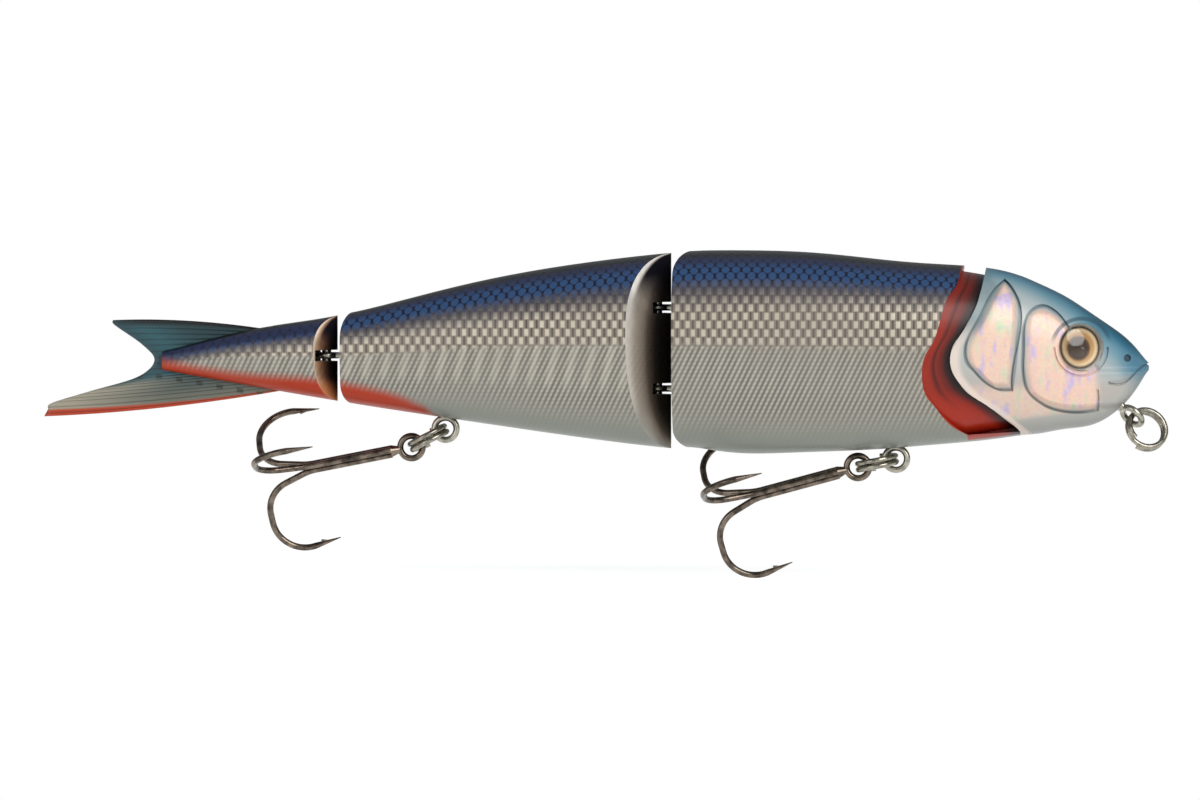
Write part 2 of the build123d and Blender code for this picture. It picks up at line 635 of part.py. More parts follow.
def build():
    parts = {}
    eyes = wire_eyes()
    sockets = {}
    for name, (plane, hole, stem, depth) in eyes.items():
        parts[name] = plane * wire_eye(hole, stem, depth)
        sockets[name] = plane * eye_socket(hole, stem, depth)

    front_sockets = [sockets[n] for n in ("line_tie", "front_hanger", "hinge_eye_upper", "hinge_eye_lower")]
    parts["front_shell_left"], parts["front_shell_right"] = both_halves(front_half(), front_sockets)
    parts["middle_shell_left"], parts["middle_shell_right"] = both_halves(
        middle_half(), [sockets["rear_hanger"], sockets["tail_hinge_eye"]])
    parts["tail_shell_left"], parts["tail_shell_right"] = both_halves(tail_half())
    parts["tail_fin"] = tail_fin()

    for name, x in (("main_hinge_pin", MAIN_PIN_X), ("tail_hinge_pin", TAIL_PIN_X)):
        parts[name] = upright(x, *pin_ends(x), PIN_DIAMETER / 2)
    for name, ends, z, diameter in (
            ("front_ballast", FRONT_BALLAST_ENDS, FRONT_BALLAST_Z, FRONT_BALLAST_DIAMETER),
            ("middle_ballast", MIDDLE_BALLAST_ENDS, MIDDLE_BALLAST_Z, MIDDLE_BALLAST_DIAMETER)):
        parts[name] = lying_rod(ends, z, diameter / 2)

    seat = flank_plane(EYE_X, EYE_Z)
    for name, piece in (("iris", iris()), ("eye_lens", lens())):
        parts[name + "_left"] = seat * piece
        parts[name + "_right"] = mirror(seat * piece, about=Plane.XZ)

    parts["line_ring"] = line_ring()
    for end, x, ring_drop, hook_drop in (("front", FRONT_HANGER_X, FRONT_RING_DROP, FRONT_HOOK_DROP),
                                         ("rear", REAR_HANGER_X, REAR_RING_DROP, REAR_HOOK_DROP)):
        parts[end + "_ring"], parts[end + "_treble"], eye = hook_gear(x, ring_drop, hook_drop)
        print(end, "hanger", hanger_centre(x), "hook eye", eye)
    return parts


os.makedirs("parts", exist_ok=True)
for name, solid in build().items():
    solid.label = name
    export_step(solid, "parts/" + name + ".step")
    print(name, round(solid.volume, 1))
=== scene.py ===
# %% [markdown]
# # A jointed swimbait
# The lure's hard bodies, rings and hooks arrive as finished solids from the CAD model. This lesson gives
# them their foil, paint and plating, models the soft tail fin anew with its moulded rays, and sets up a
# plain studio. The CAD shapes already fit and hinge, so they are dressed and never moved.

# %% Load the frame
import bpy
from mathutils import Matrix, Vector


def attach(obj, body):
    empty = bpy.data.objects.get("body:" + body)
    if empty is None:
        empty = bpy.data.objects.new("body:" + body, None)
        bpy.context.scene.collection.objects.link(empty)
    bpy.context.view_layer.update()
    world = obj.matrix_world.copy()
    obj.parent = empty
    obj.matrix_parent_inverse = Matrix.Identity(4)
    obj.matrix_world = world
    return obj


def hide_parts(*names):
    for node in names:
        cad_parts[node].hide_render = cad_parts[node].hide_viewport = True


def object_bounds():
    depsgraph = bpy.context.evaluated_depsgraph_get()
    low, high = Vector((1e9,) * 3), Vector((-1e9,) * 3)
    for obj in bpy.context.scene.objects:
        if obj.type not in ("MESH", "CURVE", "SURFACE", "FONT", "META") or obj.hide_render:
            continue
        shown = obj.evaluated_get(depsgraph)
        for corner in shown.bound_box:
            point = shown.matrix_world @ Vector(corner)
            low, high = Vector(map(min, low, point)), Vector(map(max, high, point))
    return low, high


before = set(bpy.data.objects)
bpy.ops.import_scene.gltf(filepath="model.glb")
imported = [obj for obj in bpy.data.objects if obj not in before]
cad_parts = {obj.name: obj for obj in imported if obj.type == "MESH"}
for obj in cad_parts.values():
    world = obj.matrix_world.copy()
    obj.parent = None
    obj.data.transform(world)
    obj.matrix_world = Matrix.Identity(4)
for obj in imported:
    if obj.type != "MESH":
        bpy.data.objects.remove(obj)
cad_box = [list(corner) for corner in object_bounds()]

import bpy
import math
import numpy as np
from mathutils import Vector

MM = 0.001
print("nodes:", len(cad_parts), "box in mm:", [[round(v / MM, 1) for v in c] for c in cad_box])

# %% [markdown]
# ## Colours and nodes
# Paint colours are written as sRGB hex, but a shader works in linear light, so one function converts them.
# One more function adds a node with its settings and links, which keeps each material a list of steps.
# A separate function for sums, mixes and noises would be shorter to call, but longer to learn.
# `fade` is the airbrush, a soft step from one place to another. `ramp` is a row of paints along a value.

# %% Helpers for materials
def paint(code):
    """An sRGB hex colour as linear light: ((c + 0.055) / 1.055) ** 2.4, straight below 0.04."""
    channels = np.array([int(code[i:i + 2], 16) for i in (1, 3, 5)]) / 255
    linear = np.where(channels <= 0.04045, channels / 12.92, ((channels + 0.055) / 1.055) ** 2.4)
    return (*linear.tolist(), 1.0)


def add(tree, kind, *inputs, out=0, named=None, **settings):
    """Add a node: inputs in order (None leaves one alone), then named ones; return output `out`.

    A kind in capitals is a sum, and stands for the Math node with that operation.
    """
    if kind.isupper():
        kind, settings = "Math", {"operation": kind}
    node = tree.nodes.new("ShaderNode" + kind)
    for key, value in settings.items():
        setattr(node, key, value)
    pairs = [(node.inputs[i], value) for i, value in enumerate(inputs) if value is not None]
    pairs += [(node.inputs[key], value) for key, value in (named or {}).items()]
    for socket, value in pairs:
        if isinstance(value, bpy.types.NodeSocket):
            tree.links.new(value, socket)
        else:
            socket.default_value = value
    return node.outputs[out] if node.outputs else node


def fade(tree, value, start, end, low=0.0, high=1.0):
    """From low at start to high at end, with soft ends: 3 t^2 - 2 t^3."""
    return add(tree, "MapRange", value, start, end, low, high, interpolation_type="SMOOTHSTEP")


def ramp(tree, value, *stops):
    """Paints along a value: pairs of a place and a hex colour; the value may run past them."""
    first, last = stops[0][0], stops[-1][0]
    output = add(tree, "ValToRGB", add(tree, "MapRange", value, first, last, 0.0, 1.0))
    elements = output.node.color_ramp.elements
    while len(elements) < len(stops):
        elements.new(0.5)
    for element, (place, code) in zip(elements, stops):
        element.position = (place - first) / (last - first)
        element.color = paint(code)
    return output


def new_material(name):
    """An empty material, and its node tree."""
    material = bpy.data.materials.new(name)
    material.use_nodes = True
    material.node_tree.nodes.clear()
    return material, material.node_tree


def dress(material, *nodes):
    """Give CAD nodes a material in place of the one that they came with."""
    for name in nodes:
        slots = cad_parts[name].data.materials
        slots.clear()
        slots.append(material)


print("mid grey #808080 as linear light:", round(paint("#808080")[0], 3))

# %% [markdown]
# ## Lines of the fish
# The paint follows the fish: a dark back, silver sides, a pale belly. The materials therefore need to know
# where back, belly and flank lie at each place along the body. A float curve through the same stations
# that shaped the body gives each line, so paint and form agree.

# %% The form as curves
BODY_LENGTH, BODY_DEPTH, BODY_WIDTH = 169.4, 34.6, 24.0
SNOUT_X, SNOUT_Z = 0.3, 10.6
STATIONS = (0.0, 0.021, 0.05, 0.092, 0.149, 0.234, 0.368, 0.486, 0.651, 0.816, 0.917, 1.0)
BACK = (0.017, 0.133, 0.237, 0.367, 0.475, 0.512, 0.569, 0.558, 0.445, 0.254, 0.170, 0.068)
BELLY = (-0.017, -0.165, -0.275, -0.315, -0.355, -0.396, -0.431, -0.407, -0.303, -0.182, -0.098, -0.026)
WIDTH = (0.075, 0.205, 0.385, 0.625, 0.845, 0.967, 1.0, 0.95, 0.742, 0.475, 0.292, 0.142)
ROUNDNESS = 2.38           # exponent of the superellipse that a section comes close to


def follow(tree, along, places, values):
    """A smooth line through values at places, both in mm, read at `along`."""
    order = np.argsort(places)
    places, values = np.array(places, float)[order], np.array(values, float)[order]
    low, high = values.min() - 1, values.max() + 1
    share = add(tree, "MapRange", along, float(places[0]), float(places[-1]), 0.0, 1.0)
    curve = tree.nodes.new("ShaderNodeFloatCurve")
    points = curve.mapping.curves[0].points
    spots = list(zip((places - places[0]) / np.ptp(places), (values - low) / (high - low)))
    while len(points) < len(spots):
        points.new(0.5, 0.5)
    for point, spot in zip(points, spots):
        point.location = spot
    curve.mapping.update()
    tree.links.new(share, curve.inputs["Value"])
    return add(tree, "MapRange", curve.outputs[0], 0.0, 1.0, float(low), float(high))


class Fish:
    """Where a point of the hard bodies lies on the fish, as sockets of one material; lengths in mm."""

    def __init__(self, tree):
        coordinates = add(tree, "TexCoord").node.outputs
        place = add(tree, "VectorMath", coordinates["Object"], (1 / MM,) * 3, operation="MULTIPLY")
        self.tree, self.place = tree, place
        self.x, self.y, self.z = add(tree, "SeparateXYZ", place).node.outputs
        self.facing_fore = add(tree, "SeparateXYZ", coordinates["Normal"]).node.outputs[0]
        xs = [SNOUT_X - s * BODY_LENGTH for s in STATIONS]
        self.back = follow(tree, self.x, xs, [SNOUT_Z + v * BODY_DEPTH for v in BACK])
        self.belly = follow(tree, self.x, xs, [SNOUT_Z + v * BODY_DEPTH for v in BELLY])
        self.half = follow(tree, self.x, xs, [v * BODY_WIDTH / 2 for v in WIDTH])
        self.depth = add(tree, "SUBTRACT", self.back, self.belly)
        self.over_belly = add(tree, "SUBTRACT", self.z, self.belly)
        self.share = add(tree, "DIVIDE", self.over_belly, self.depth)
        # distance from the ridge across the section, which is how far paint runs down from the back
        drop = add(tree, "SUBTRACT", self.back, self.z)
        across = add(tree, "CombineXYZ", self.y, drop)
        self.chord = add(tree, "VectorMath", across, operation="LENGTH", out=1)
        # the same distance as it would be on the deepest section
        size = add(tree, "MapRange", self.depth, 0.0, BODY_DEPTH, 0.12, 0.96)
        self.reach = add(tree, "DIVIDE", self.chord, size)

    def line(self, *points):
        """Height, or place, of a line through points given as (along, value) pairs over x."""
        return follow(self.tree, self.x, *zip(*points))

    def upright_line(self, *points):
        """Place along the body of a line through points given as (x, z), read at this height."""
        xs, zs = zip(*points)
        return follow(self.tree, self.z, zs, xs)


section_depths = [(back - belly) * BODY_DEPTH for back, belly in zip(BACK, BELLY)]
print("sections:", len(STATIONS), "deepest:", round(max(section_depths), 1), "mm")

# %% [markdown]
# ## Printed foil
# Under the clear coat, each hard body carries a hot-stamped foil. Three patterns are pressed into it:
# round scales in half-offset rows on the back, a chequer of upright cells on the upper flank, and
# fine slanting cuts below. A ping-pong of the place across a scale gives 0 at its edge and 1 in its
# middle, both along and across the rows, and everything else follows from those two numbers. That is
# lighter than a Voronoi and keeps the rows as even as an embossing roller makes them.

# %% The pressed patterns
SCALE_WIDTH, SCALE_ROW = 1.79, 1.15
CELL_WIDTH, CELL_ROW = 1.79, 1.43
CUT_WIDTH, CUT_ROW, CUT_LEAN = 0.92, 0.68, 0.5
STROKE_SPACING, STROKE_LEAN = 3.2, 0.26
SCALE_RIM = (0.80, 0.56)   # mm from a scale's middle: where its rim ends and where its face begins


def pressed_rows(tree, along, across, width, row, stagger):
    """How near the middle of a pressed mark a point is, along the row and across it (0 edge, 1 middle)."""
    number = add(tree, "FLOOR", add(tree, "DIVIDE", across, row))
    shifted = add(tree, "MULTIPLY_ADD", number, stagger, add(tree, "DIVIDE", along, width))
    middle_along = add(tree, "MULTIPLY", add(tree, "PINGPONG", shifted, 0.5), 2.0)
    middle_across = add(tree, "PINGPONG", add(tree, "DIVIDE", across, row), 0.5)
    return middle_along, add(tree, "MULTIPLY", middle_across, 2.0)


def scale_pattern(fish):
    """Round scales: the distance in mm to the nearest middle of two sets of rows, half a step apart."""
    tree = fish.tree
    nearest = None
    for half in (0.0, 0.5):
        along = add(tree, "MULTIPLY_ADD", fish.x, 1 / SCALE_WIDTH, half)
        along = add(tree, "PINGPONG", along, 0.5)
        across = add(tree, "MULTIPLY_ADD", fish.chord, 0.5 / SCALE_ROW, half)
        across = add(tree, "PINGPONG", across, 0.5)
        off = add(tree, "CombineXYZ", add(tree, "MULTIPLY_ADD", along, -SCALE_WIDTH, SCALE_WIDTH / 2),
                  add(tree, "MULTIPLY_ADD", across, -2 * SCALE_ROW, SCALE_ROW))
        off = add(tree, "VectorMath", off, operation="LENGTH", out=1)
        nearest = off if nearest is None else add(tree, "MINIMUM", nearest, off)
    return fade(tree, nearest, *SCALE_RIM)


def cell_pattern(fish):
    """A chequer of upright cells: dark at a mark's ends, half bright between, bright in its middle."""
    tree = fish.tree
    along, across = pressed_rows(tree, fish.x, fish.z, CELL_WIDTH, CELL_ROW, 0.5)
    middle, between = fade(tree, along, 0.50, 0.72, 0.0, 0.68), fade(tree, along, 0.0, 0.34, 0.0, 0.32)
    bright = add(tree, "MULTIPLY", middle, fade(tree, across, 0.0, 0.4))
    return add(tree, "ADD", bright, between)


def cut_pattern(fish):
    """Slanting cuts: lines that lean with the height, a little deeper in the middle of each row."""
    tree = fish.tree
    leaning = add(tree, "MULTIPLY_ADD", fish.z, -CUT_LEAN, fish.x)
    along, across = pressed_rows(tree, leaning, fish.z, CUT_WIDTH, CUT_ROW, 0.0)
    bright = fade(tree, along, 0.10, 0.90)
    return add(tree, "MULTIPLY", bright, fade(tree, across, 0.0, 0.6, 0.55, 1.0))


def stroke_pattern(fish):
    """Broad slanting strokes of light, where many cuts line up."""
    tree = fish.tree
    lean = add(tree, "MULTIPLY_ADD", fish.z, -STROKE_LEAN, fish.x)
    wave = add(tree, "PINGPONG", add(tree, "DIVIDE", lean, STROKE_SPACING), 0.5)
    wave = fade(tree, wave, 0.18, 0.46)
    above, below = fade(tree, fish.share, 0.24, 0.36), fade(tree, fish.share, 0.70, 0.60)
    return add(tree, "MULTIPLY", wave, add(tree, "MULTIPLY", above, below))


print("widths in mm: scale", SCALE_WIDTH, "cell", CELL_WIDTH, "cut", CUT_WIDTH, "stroke", STROKE_SPACING)


# %% [markdown]
# ## Airbrushed flank
# The colours are sprayed over the foil in bands that fade into each other: belly grey-green, silver-cream,
# mauve, blue, then near-black along the ridge, with orange under the tail. The bands are set by the
# distance from the ridge, so they narrow with the body. Where paint covers the foil the surface is less
# metallic. The clear coat is one smooth gloss layer over everything.

# %% Flank colour and relief
FLANK = {
    "belly": "#8f938a", "low": "#98948a", "high": "#8b8278", "glint": "#d5cab8", "cut_light": "#c2bcae",
    "cut_dark": "#6a6862", "cell_dark": "#473f38", "mauve": "#45424b", "scale_edge": "#12162a",
    "scale": "#2d4a73", "dusk": "#232540", "ridge": "#0b0a0d", "orange": "#b4330a",
}
# where a band's paint begins and where it is full, in mm from the ridge on the deepest section
MAUVE_BAND, BLUE_BAND, RIDGE_BAND, DUSK_FADE = (16.8, 12.6), (13.6, 10.8), (7.0, 4.8), 2.8
CHEQUER_FROM = (0.505, 0.565)   # share of the height over which the cuts give way to the chequer
ORANGE_EDGE = ((-169.0, 1.5), (-160.0, 1.6), (-152.8, 2.0), (-147.4, 2.6), (-142.0, 3.1), (-136.0, 3.2),
               (-124.0, 1.4), (-117.0, -1.2), (-30.0, -1.2))   # how high the orange reaches over the belly
FOIL_PRESS, FOIL_ROUGHNESS = 0.06, 0.42


def sprayed_flank(fish, strokes, dusk=9.6):
    """Colour, pressed height and metal share of the scaled flank.

    `strokes` is how strong the broad strokes of light are, and `dusk` is where the dusk band begins.
    """
    tree = fish.tree
    scales, cells, cuts = scale_pattern(fish), cell_pattern(fish), cut_pattern(fish)
    base = ramp(tree, fish.share, (0.05, FLANK["belly"]), (0.30, FLANK["low"]), (0.62, FLANK["high"]))
    glow = add(tree, "MULTIPLY", stroke_pattern(fish), strokes)
    lit = add(tree, "MULTIPLY_ADD", glow, 0.75, add(tree, "MULTIPLY", cuts, 0.85))
    chequer = add(tree, "MixRGB", cells, paint(FLANK["cell_dark"]), paint(FLANK["glint"]))
    slants = add(tree, "MixRGB", lit, paint(FLANK["cut_dark"]), paint(FLANK["cut_light"]), use_clamp=True)
    upper = fade(tree, fish.share, *CHEQUER_FROM)
    marks = add(tree, "MixRGB", upper, slants, chequer)
    # the foil catches more light in some places than in others
    cloud = add(tree, "TexNoise", fish.place, named={"Scale": 0.07, "Detail": 2.0})
    strength = add(tree, "MULTIPLY", fade(tree, fish.share, 0.07, 0.24, 0.05, 0.92),
                   add(tree, "MapRange", cloud, 0.35, 0.65, 0.65, 1.0))
    colour = add(tree, "MixRGB", strength, base, marks)

    mauve = fade(tree, fish.reach, *MAUVE_BAND, 0.0, 0.85)
    colour = add(tree, "MixRGB", mauve, colour, paint(FLANK["mauve"]))
    blue = add(tree, "MixRGB", scales, paint(FLANK["scale_edge"]), paint(FLANK["scale"]))
    to_blue = fade(tree, fish.reach, *BLUE_BAND)
    colour = add(tree, "MixRGB", to_blue, colour, blue)
    darker = fade(tree, fish.reach, dusk, dusk - DUSK_FADE, 0.0, 0.82)
    colour = add(tree, "MixRGB", darker, colour, paint(FLANK["dusk"]))
    colour = add(tree, "MixRGB", fade(tree, fish.reach, *RIDGE_BAND), colour, paint(FLANK["ridge"]))

    under = add(tree, "SUBTRACT", fish.line(*ORANGE_EDGE), fish.over_belly)
    orange = fade(tree, under, -1.3, 1.0)
    colour = add(tree, "MixRGB", orange, colour, paint(FLANK["orange"]))

    foil = add(tree, "MixRGB", upper, cuts, cells)
    height = add(tree, "MixRGB", to_blue, foil, scales)
    height = add(tree, "MULTIPLY", height, strength)
    covered = add(tree, "MAXIMUM", to_blue, orange)
    metal = add(tree, "MapRange", add(tree, "SUBTRACT", strength, covered), 0.0, 0.8, 0.05, 0.40)
    return colour, height, metal


def clear_coated(tree, colour, height, metal):
    """Foil or paint under a gloss clear coat; the marks are pressed FOIL_PRESS mm deep into the foil."""
    bump = add(tree, "Bump", 0.8, FOIL_PRESS * MM, named={"Height": height})
    surface = add(tree, "BsdfPrincipled", named={
        "Base Color": colour, "Metallic": metal, "Roughness": FOIL_ROUGHNESS, "Normal": bump,
        "Specular IOR Level": 0.25, "Coat Weight": 0.2, "Coat Roughness": 0.22})
    add(tree, "OutputMaterial", surface)


print("flank paints:", len(FLANK), "pressed", FOIL_PRESS, "mm deep")

# %% [markdown]
# ## Noses and ends
# The middle and tail bodies have a V nose that swings against the flat end before it. The painter masks
# it only roughly: overspray leaves a pale rim where the flank turns in, and the rest goes dark. Its palest
# line is a painted highlight on the rim's edge, and its dark is partly paint and partly painted shade from
# the body in front. The flat end is dark paint with painted shade. The colour of a nose is a row of paints
# by the distance in from that rim, used where the surface faces forward. It could be a row along the body,
# but the rim is not upright, so its pale line would drift.

# %% Bodies with a V nose
def nose(fish, colour, stops, top_dark, low_tint):
    """Paint, painted highlight and painted shade on the faces of a V nose, by the distance in from the rim,
    dark at the upper end.

    The rim lies where the section's superellipse |y / a|^n + |z / b|^n = 1 is met, so at half the
    depth b and half the width a, the distance in is a (1 - |z / b|^n)^(1 / n) - |y|.
    """
    tree = fish.tree
    high = add(tree, "ABSOLUTE", add(tree, "MULTIPLY_ADD", fish.share, 2.0, -1.0))
    left = add(tree, "SUBTRACT", 1.0, add(tree, "POWER", high, ROUNDNESS))
    wide = add(tree, "POWER", add(tree, "MAXIMUM", left, 0.0), 1 / ROUNDNESS)
    wide = add(tree, "MULTIPLY", wide, fish.half)
    rim = add(tree, "SUBTRACT", wide, add(tree, "ABSOLUTE", fish.y))
    inside = fade(tree, fish.facing_fore, 0.30, 0.45)
    # by the distance in from the rim: a painted highlight on the rim's edge, then overspray, then paint and
    # painted shade going dark
    paints = ramp(tree, rim, *stops)
    upper = fade(tree, fish.share, top_dark, top_dark + 0.25)
    upper = add(tree, "MULTIPLY", upper, fade(tree, rim, 0.3, 1.5))
    paints = add(tree, "MixRGB", upper, paints, paint("#14121b"))
    lower = fade(tree, fish.share, 0.30, 0.10)
    lower = add(tree, "MULTIPLY", lower, fade(tree, rim, 5.0, 1.0, 0.0, 0.8))
    paints = add(tree, "MixRGB", lower, paints, paint(low_tint))
    return add(tree, "MixRGB", inside, colour, paints)


def shaded_flat_end(fish, colour, end_x):
    """Dark paint and painted shade on the flat end that faces the next body's nose, soft over its rounding.
    """
    tree = fish.tree
    # dark paint with painted shade where the end faces backwards, within END_DEPTH of the end
    facing = fade(tree, fish.facing_fore, -0.45, -0.90)
    near = add(tree, "LESS_THAN", fish.x, end_x + END_DEPTH)
    return add(tree, "MixRGB", add(tree, "MULTIPLY", facing, near), colour, paint("#12150f"))


FRONT_END_X, MIDDLE_END_X = -80.7, -138.0
END_DEPTH = 1.5            # mm: how far along the body a flat end's rounding goes
# paints in from the rim: the palest stop is a painted highlight on the rim's edge, the dark stops are
# partly paint and partly painted shade
MIDDLE_NOSE_PAINT_HIGHLIGHT_SHADE = ((0.0, "#fdf8f0"), (1.0, "#f0e5d8"), (2.2, "#c6b8a8"), (4.2, "#9f9182"), (5.2, "#75675a"),
               (7.0, "#463f36"), (11.0, "#24211c"))
TAIL_NOSE_PAINT_HIGHLIGHT_SHADE = ((0.0, "#ffe9d2"), (0.5, "#cba386"), (1.4, "#94694d"), (2.3, "#5e4030"), (3.2, "#30201a"),
             (4.0, "#140d0b"))


def middle_paint():
    material, tree = new_material("hot-stamped foil and airbrush, middle body")
    fish = Fish(tree)
    colour, height, metal = sprayed_flank(fish, 0.55)
    colour = nose(fish, colour, MIDDLE_NOSE_PAINT_HIGHLIGHT_SHADE, 0.66, "#8b8b84")
    colour = shaded_flat_end(fish, colour, MIDDLE_END_X)
    clear_coated(tree, colour, height, metal)
    return material


def tail_paint():
    material, tree = new_material("hot-stamped foil and airbrush, tail body")
    fish = Fish(tree)
    colour, height, metal = sprayed_flank(fish, 0.25, dusk=13.0)
    colour = nose(fish, colour, TAIL_NOSE_PAINT_HIGHLIGHT_SHADE, 0.60, "#c07040")
    clear_coated(tree, colour, height, metal)
    return material


dress(middle_paint(), "middle_shell_left", "middle_shell_right")
dress(tail_paint(), "tail_shell_left", "tail_shell_right")
print("paints on the middle nose:", len(MIDDLE_NOSE_PAINT_HIGHLIGHT_SHADE), "on the tail nose:", len(TAIL_NOSE_PAINT_HIGHLIGHT_SHADE))

# %% [markdown]
# ## Gill
# Behind the head plate lies the open gill, moulded as a recess and sprayed red. From its rear edge to the
# head plate's edge the red goes through brown to black, as if the recess were deeper than it is: that dark
# is painted shadow under the head plate's edge, with a line of painted shade along a crease part of the way
# in.
# Both edges are lines over the height, and the paints run along the share of the way from one to the other,
# so they follow the gill where it narrows towards the belly.

# %% Gill colour
GILL_REAR = ((-31.6, 31.0), (-31.9, 25.8), (-33.9, 22.0), (-35.6, 16.2), (-38.0, 9.2), (-35.5, 3.4),
             (-30.5, -1.0))
GILL_FORE = ((-21.5, -0.5), (-26.6, 3.8), (-31.6, 7.8), (-33.2, 11.9), (-30.6, 17.6), (-28.3, 22.7),
             (-27.8, 31.0))
# red into painted shadow: brown to black towards the head plate's edge, and a dark line of painted shade at
# 0.38
GILL_RED_INTO_SHADOW = ((0.0, "#a02a14"), (0.25, "#8e2312"), (0.38, "#4c120a"), (0.47, "#7f1f12"), (0.66, "#5e170e"),
            (0.80, "#290b0a"), (0.94, "#0e0708"))
# low down the painted shadow under the head plate's edge is thinner
GILL_LOW_RED_INTO_SHADOW = ((0.0, "#ab2b14"), (0.70, "#9f2613"), (0.86, "#5a140c"), (0.97, "#120809"))
GILL_OVER_BELLY = 0.35     # mm: the belly itself keeps the flank's paint


def gap_between(fish, upper, lower):
    """How far in mm one place or height lies past another."""
    return add(fish.tree, "SUBTRACT", upper, lower)


def gill_red_and_shadow(fish):
    """The gill's red with its painted shadow, how much of it a point has, and how far in mm it lies before
    the head's edge.
    """
    tree = fish.tree
    rear, fore = fish.upright_line(*GILL_REAR), fish.upright_line(*GILL_FORE)
    into_gill, before_head = gap_between(fish, fish.x, rear), gap_between(fish, fore, fish.x)
    across = add(tree, "DIVIDE", into_gill, gap_between(fish, fore, rear))
    red, bright = ramp(tree, across, *GILL_RED_INTO_SHADOW), ramp(tree, across, *GILL_LOW_RED_INTO_SHADOW)
    red = add(tree, "MixRGB", fade(tree, fish.z, 8.0, 2.0), red, bright)
    # darker towards the top
    red = add(tree, "MixRGB", fade(tree, fish.z, 14.0, 24.0, 0.0, 0.35), red, paint("#331511"))
    over_belly = add(tree, "GREATER_THAN", fish.over_belly, GILL_OVER_BELLY)
    gill = add(tree, "MULTIPLY", add(tree, "GREATER_THAN", into_gill, 0.0), over_belly)
    return red, gill, before_head


print("gill paints:", len(GILL_RED_INTO_SHADOW), "and", len(GILL_LOW_RED_INTO_SHADOW), "low down")

# %% [markdown]
# ## Plates of the head
# The head has raised plates moulded in: the gill cover, the cheek and their rims. A plate is drawn by how
# far inside its outline a point lies; the outline is given as lines over the height or along the body.
# That one distance makes the dark line round the plate, its pearl fill and its soft dome. The pearl
# itself is a pink-cream lacquer that shifts to lavender and pale green.

# %% The head's plates
OPERCLE_FORE = ((-24.1, 25.6), (-22.2, 23.4), (-21.2, 20.6), (-21.6, 15.0), (-22.6, 6.6))
OPERCLE_REAR = ((-24.0, 6.4), (-26.0, 7.1), (-29.1, 9.7), (-30.9, 12.6), (-28.3, 19.5), (-26.3, 23.4),
                (-24.2, 25.6))
OPERCLE_LOW_Z, OPERCLE_HIGH_Z = 6.6, 25.8
CHEEK_TOP = ((-21.2, 16.0), (-20.6, 18.9), (-19.8, 20.3), (-17.7, 21.3), (-15.9, 20.6), (-13.9, 18.7),
             (-8.0, 11.0))
CHEEK_LOW = ((-21.2, 10.0), (-20.3, 6.6), (-18.1, 4.4), (-15.3, 3.1), (-8.2, 2.9))
CHEEK_REAR = ((-18.0, 3.0), (-20.4, 6.6), (-21.1, 10.0), (-21.1, 14.0), (-20.9, 18.5), (-18.5, 21.5))
CHEEK_FORE_X = -8.2
PEARL = ((0.30, "#c6d6b4"), (0.38, "#e6cdb9"), (0.48, "#efcbb6"), (0.57, "#e9c8bb"), (0.66, "#ccb8da"))


def inside_plate(fish, *distances):
    """The least of the distances in from each side of a plate, in mm: below 0 outside it."""
    least = distances[0]
    for distance in distances[1:]:
        least = add(fish.tree, "MINIMUM", least, distance)
    return least


def gill_cover(fish):
    """Distance in mm in from the gill cover's outline."""
    return inside_plate(fish, gap_between(fish, fish.x, fish.upright_line(*OPERCLE_REAR)),
                        gap_between(fish, fish.upright_line(*OPERCLE_FORE), fish.x),
                        gap_between(fish, fish.z, OPERCLE_LOW_Z), gap_between(fish, OPERCLE_HIGH_Z, fish.z))


def cheek_plate(fish):
    """Distance in mm in from the cheek's outline, which is open towards the snout."""
    return inside_plate(fish, gap_between(fish, fish.line(*CHEEK_TOP), fish.z),
                        gap_between(fish, fish.z, fish.line(*CHEEK_LOW)),
                        gap_between(fish, fish.x, fish.upright_line(*CHEEK_REAR)))


def pearl_lacquer(fish):
    """Pearl pigment: soft upright streaks of cream and pink with lavender and mint flecks."""
    tree = fish.tree
    stretched = add(tree, "VectorMath", fish.place, (0.55, 0.55, 0.16), operation="MULTIPLY")
    streaks = add(tree, "TexNoise", stretched, named={"Scale": 1.0, "Detail": 3.0})
    fleck = add(tree, "TexVoronoi", fish.place, named={"Scale": 2.4}, out=1)
    return add(tree, "MixRGB", 0.16, ramp(tree, streaks, *PEARL), fleck, blend_type="SOFT_LIGHT")


print("gill cover from", OPERCLE_LOW_Z, "to", OPERCLE_HIGH_Z, "mm high")

# %% [markdown]
# ## Skin of the head
# Between the plates the head is sprayed by hand: teal on the crown, grey under the jaw, a darker snout.
# The pearl fills the plates and thins out up to the crown. The groove round each plate is darker with
# painted shade, and a band inside the gill cover's upper rear edge is painted shade too.

# %% Crown, jaw and pearl
CROWN = ((0.4, "#153a4a"), (2.6, "#2b6780"), (5.0, "#6590a0"), (8.0, "#a5b1b3"), (12.0, "#b9bab5"))
JAW = ((0.6, "#a5a6a1"), (2.6, "#b3b1ab"), (4.5, "#b7b1aa"))


def flat_distance(fish, x, z):
    """Distance from a point of the side view, in mm."""
    tree = fish.tree
    seen = add(tree, "CombineXYZ", fish.x, 0.0, fish.z)
    offset = add(tree, "VectorMath", seen, (x, 0, z), operation="SUBTRACT")
    return add(tree, "VectorMath", offset, operation="LENGTH", out=1)


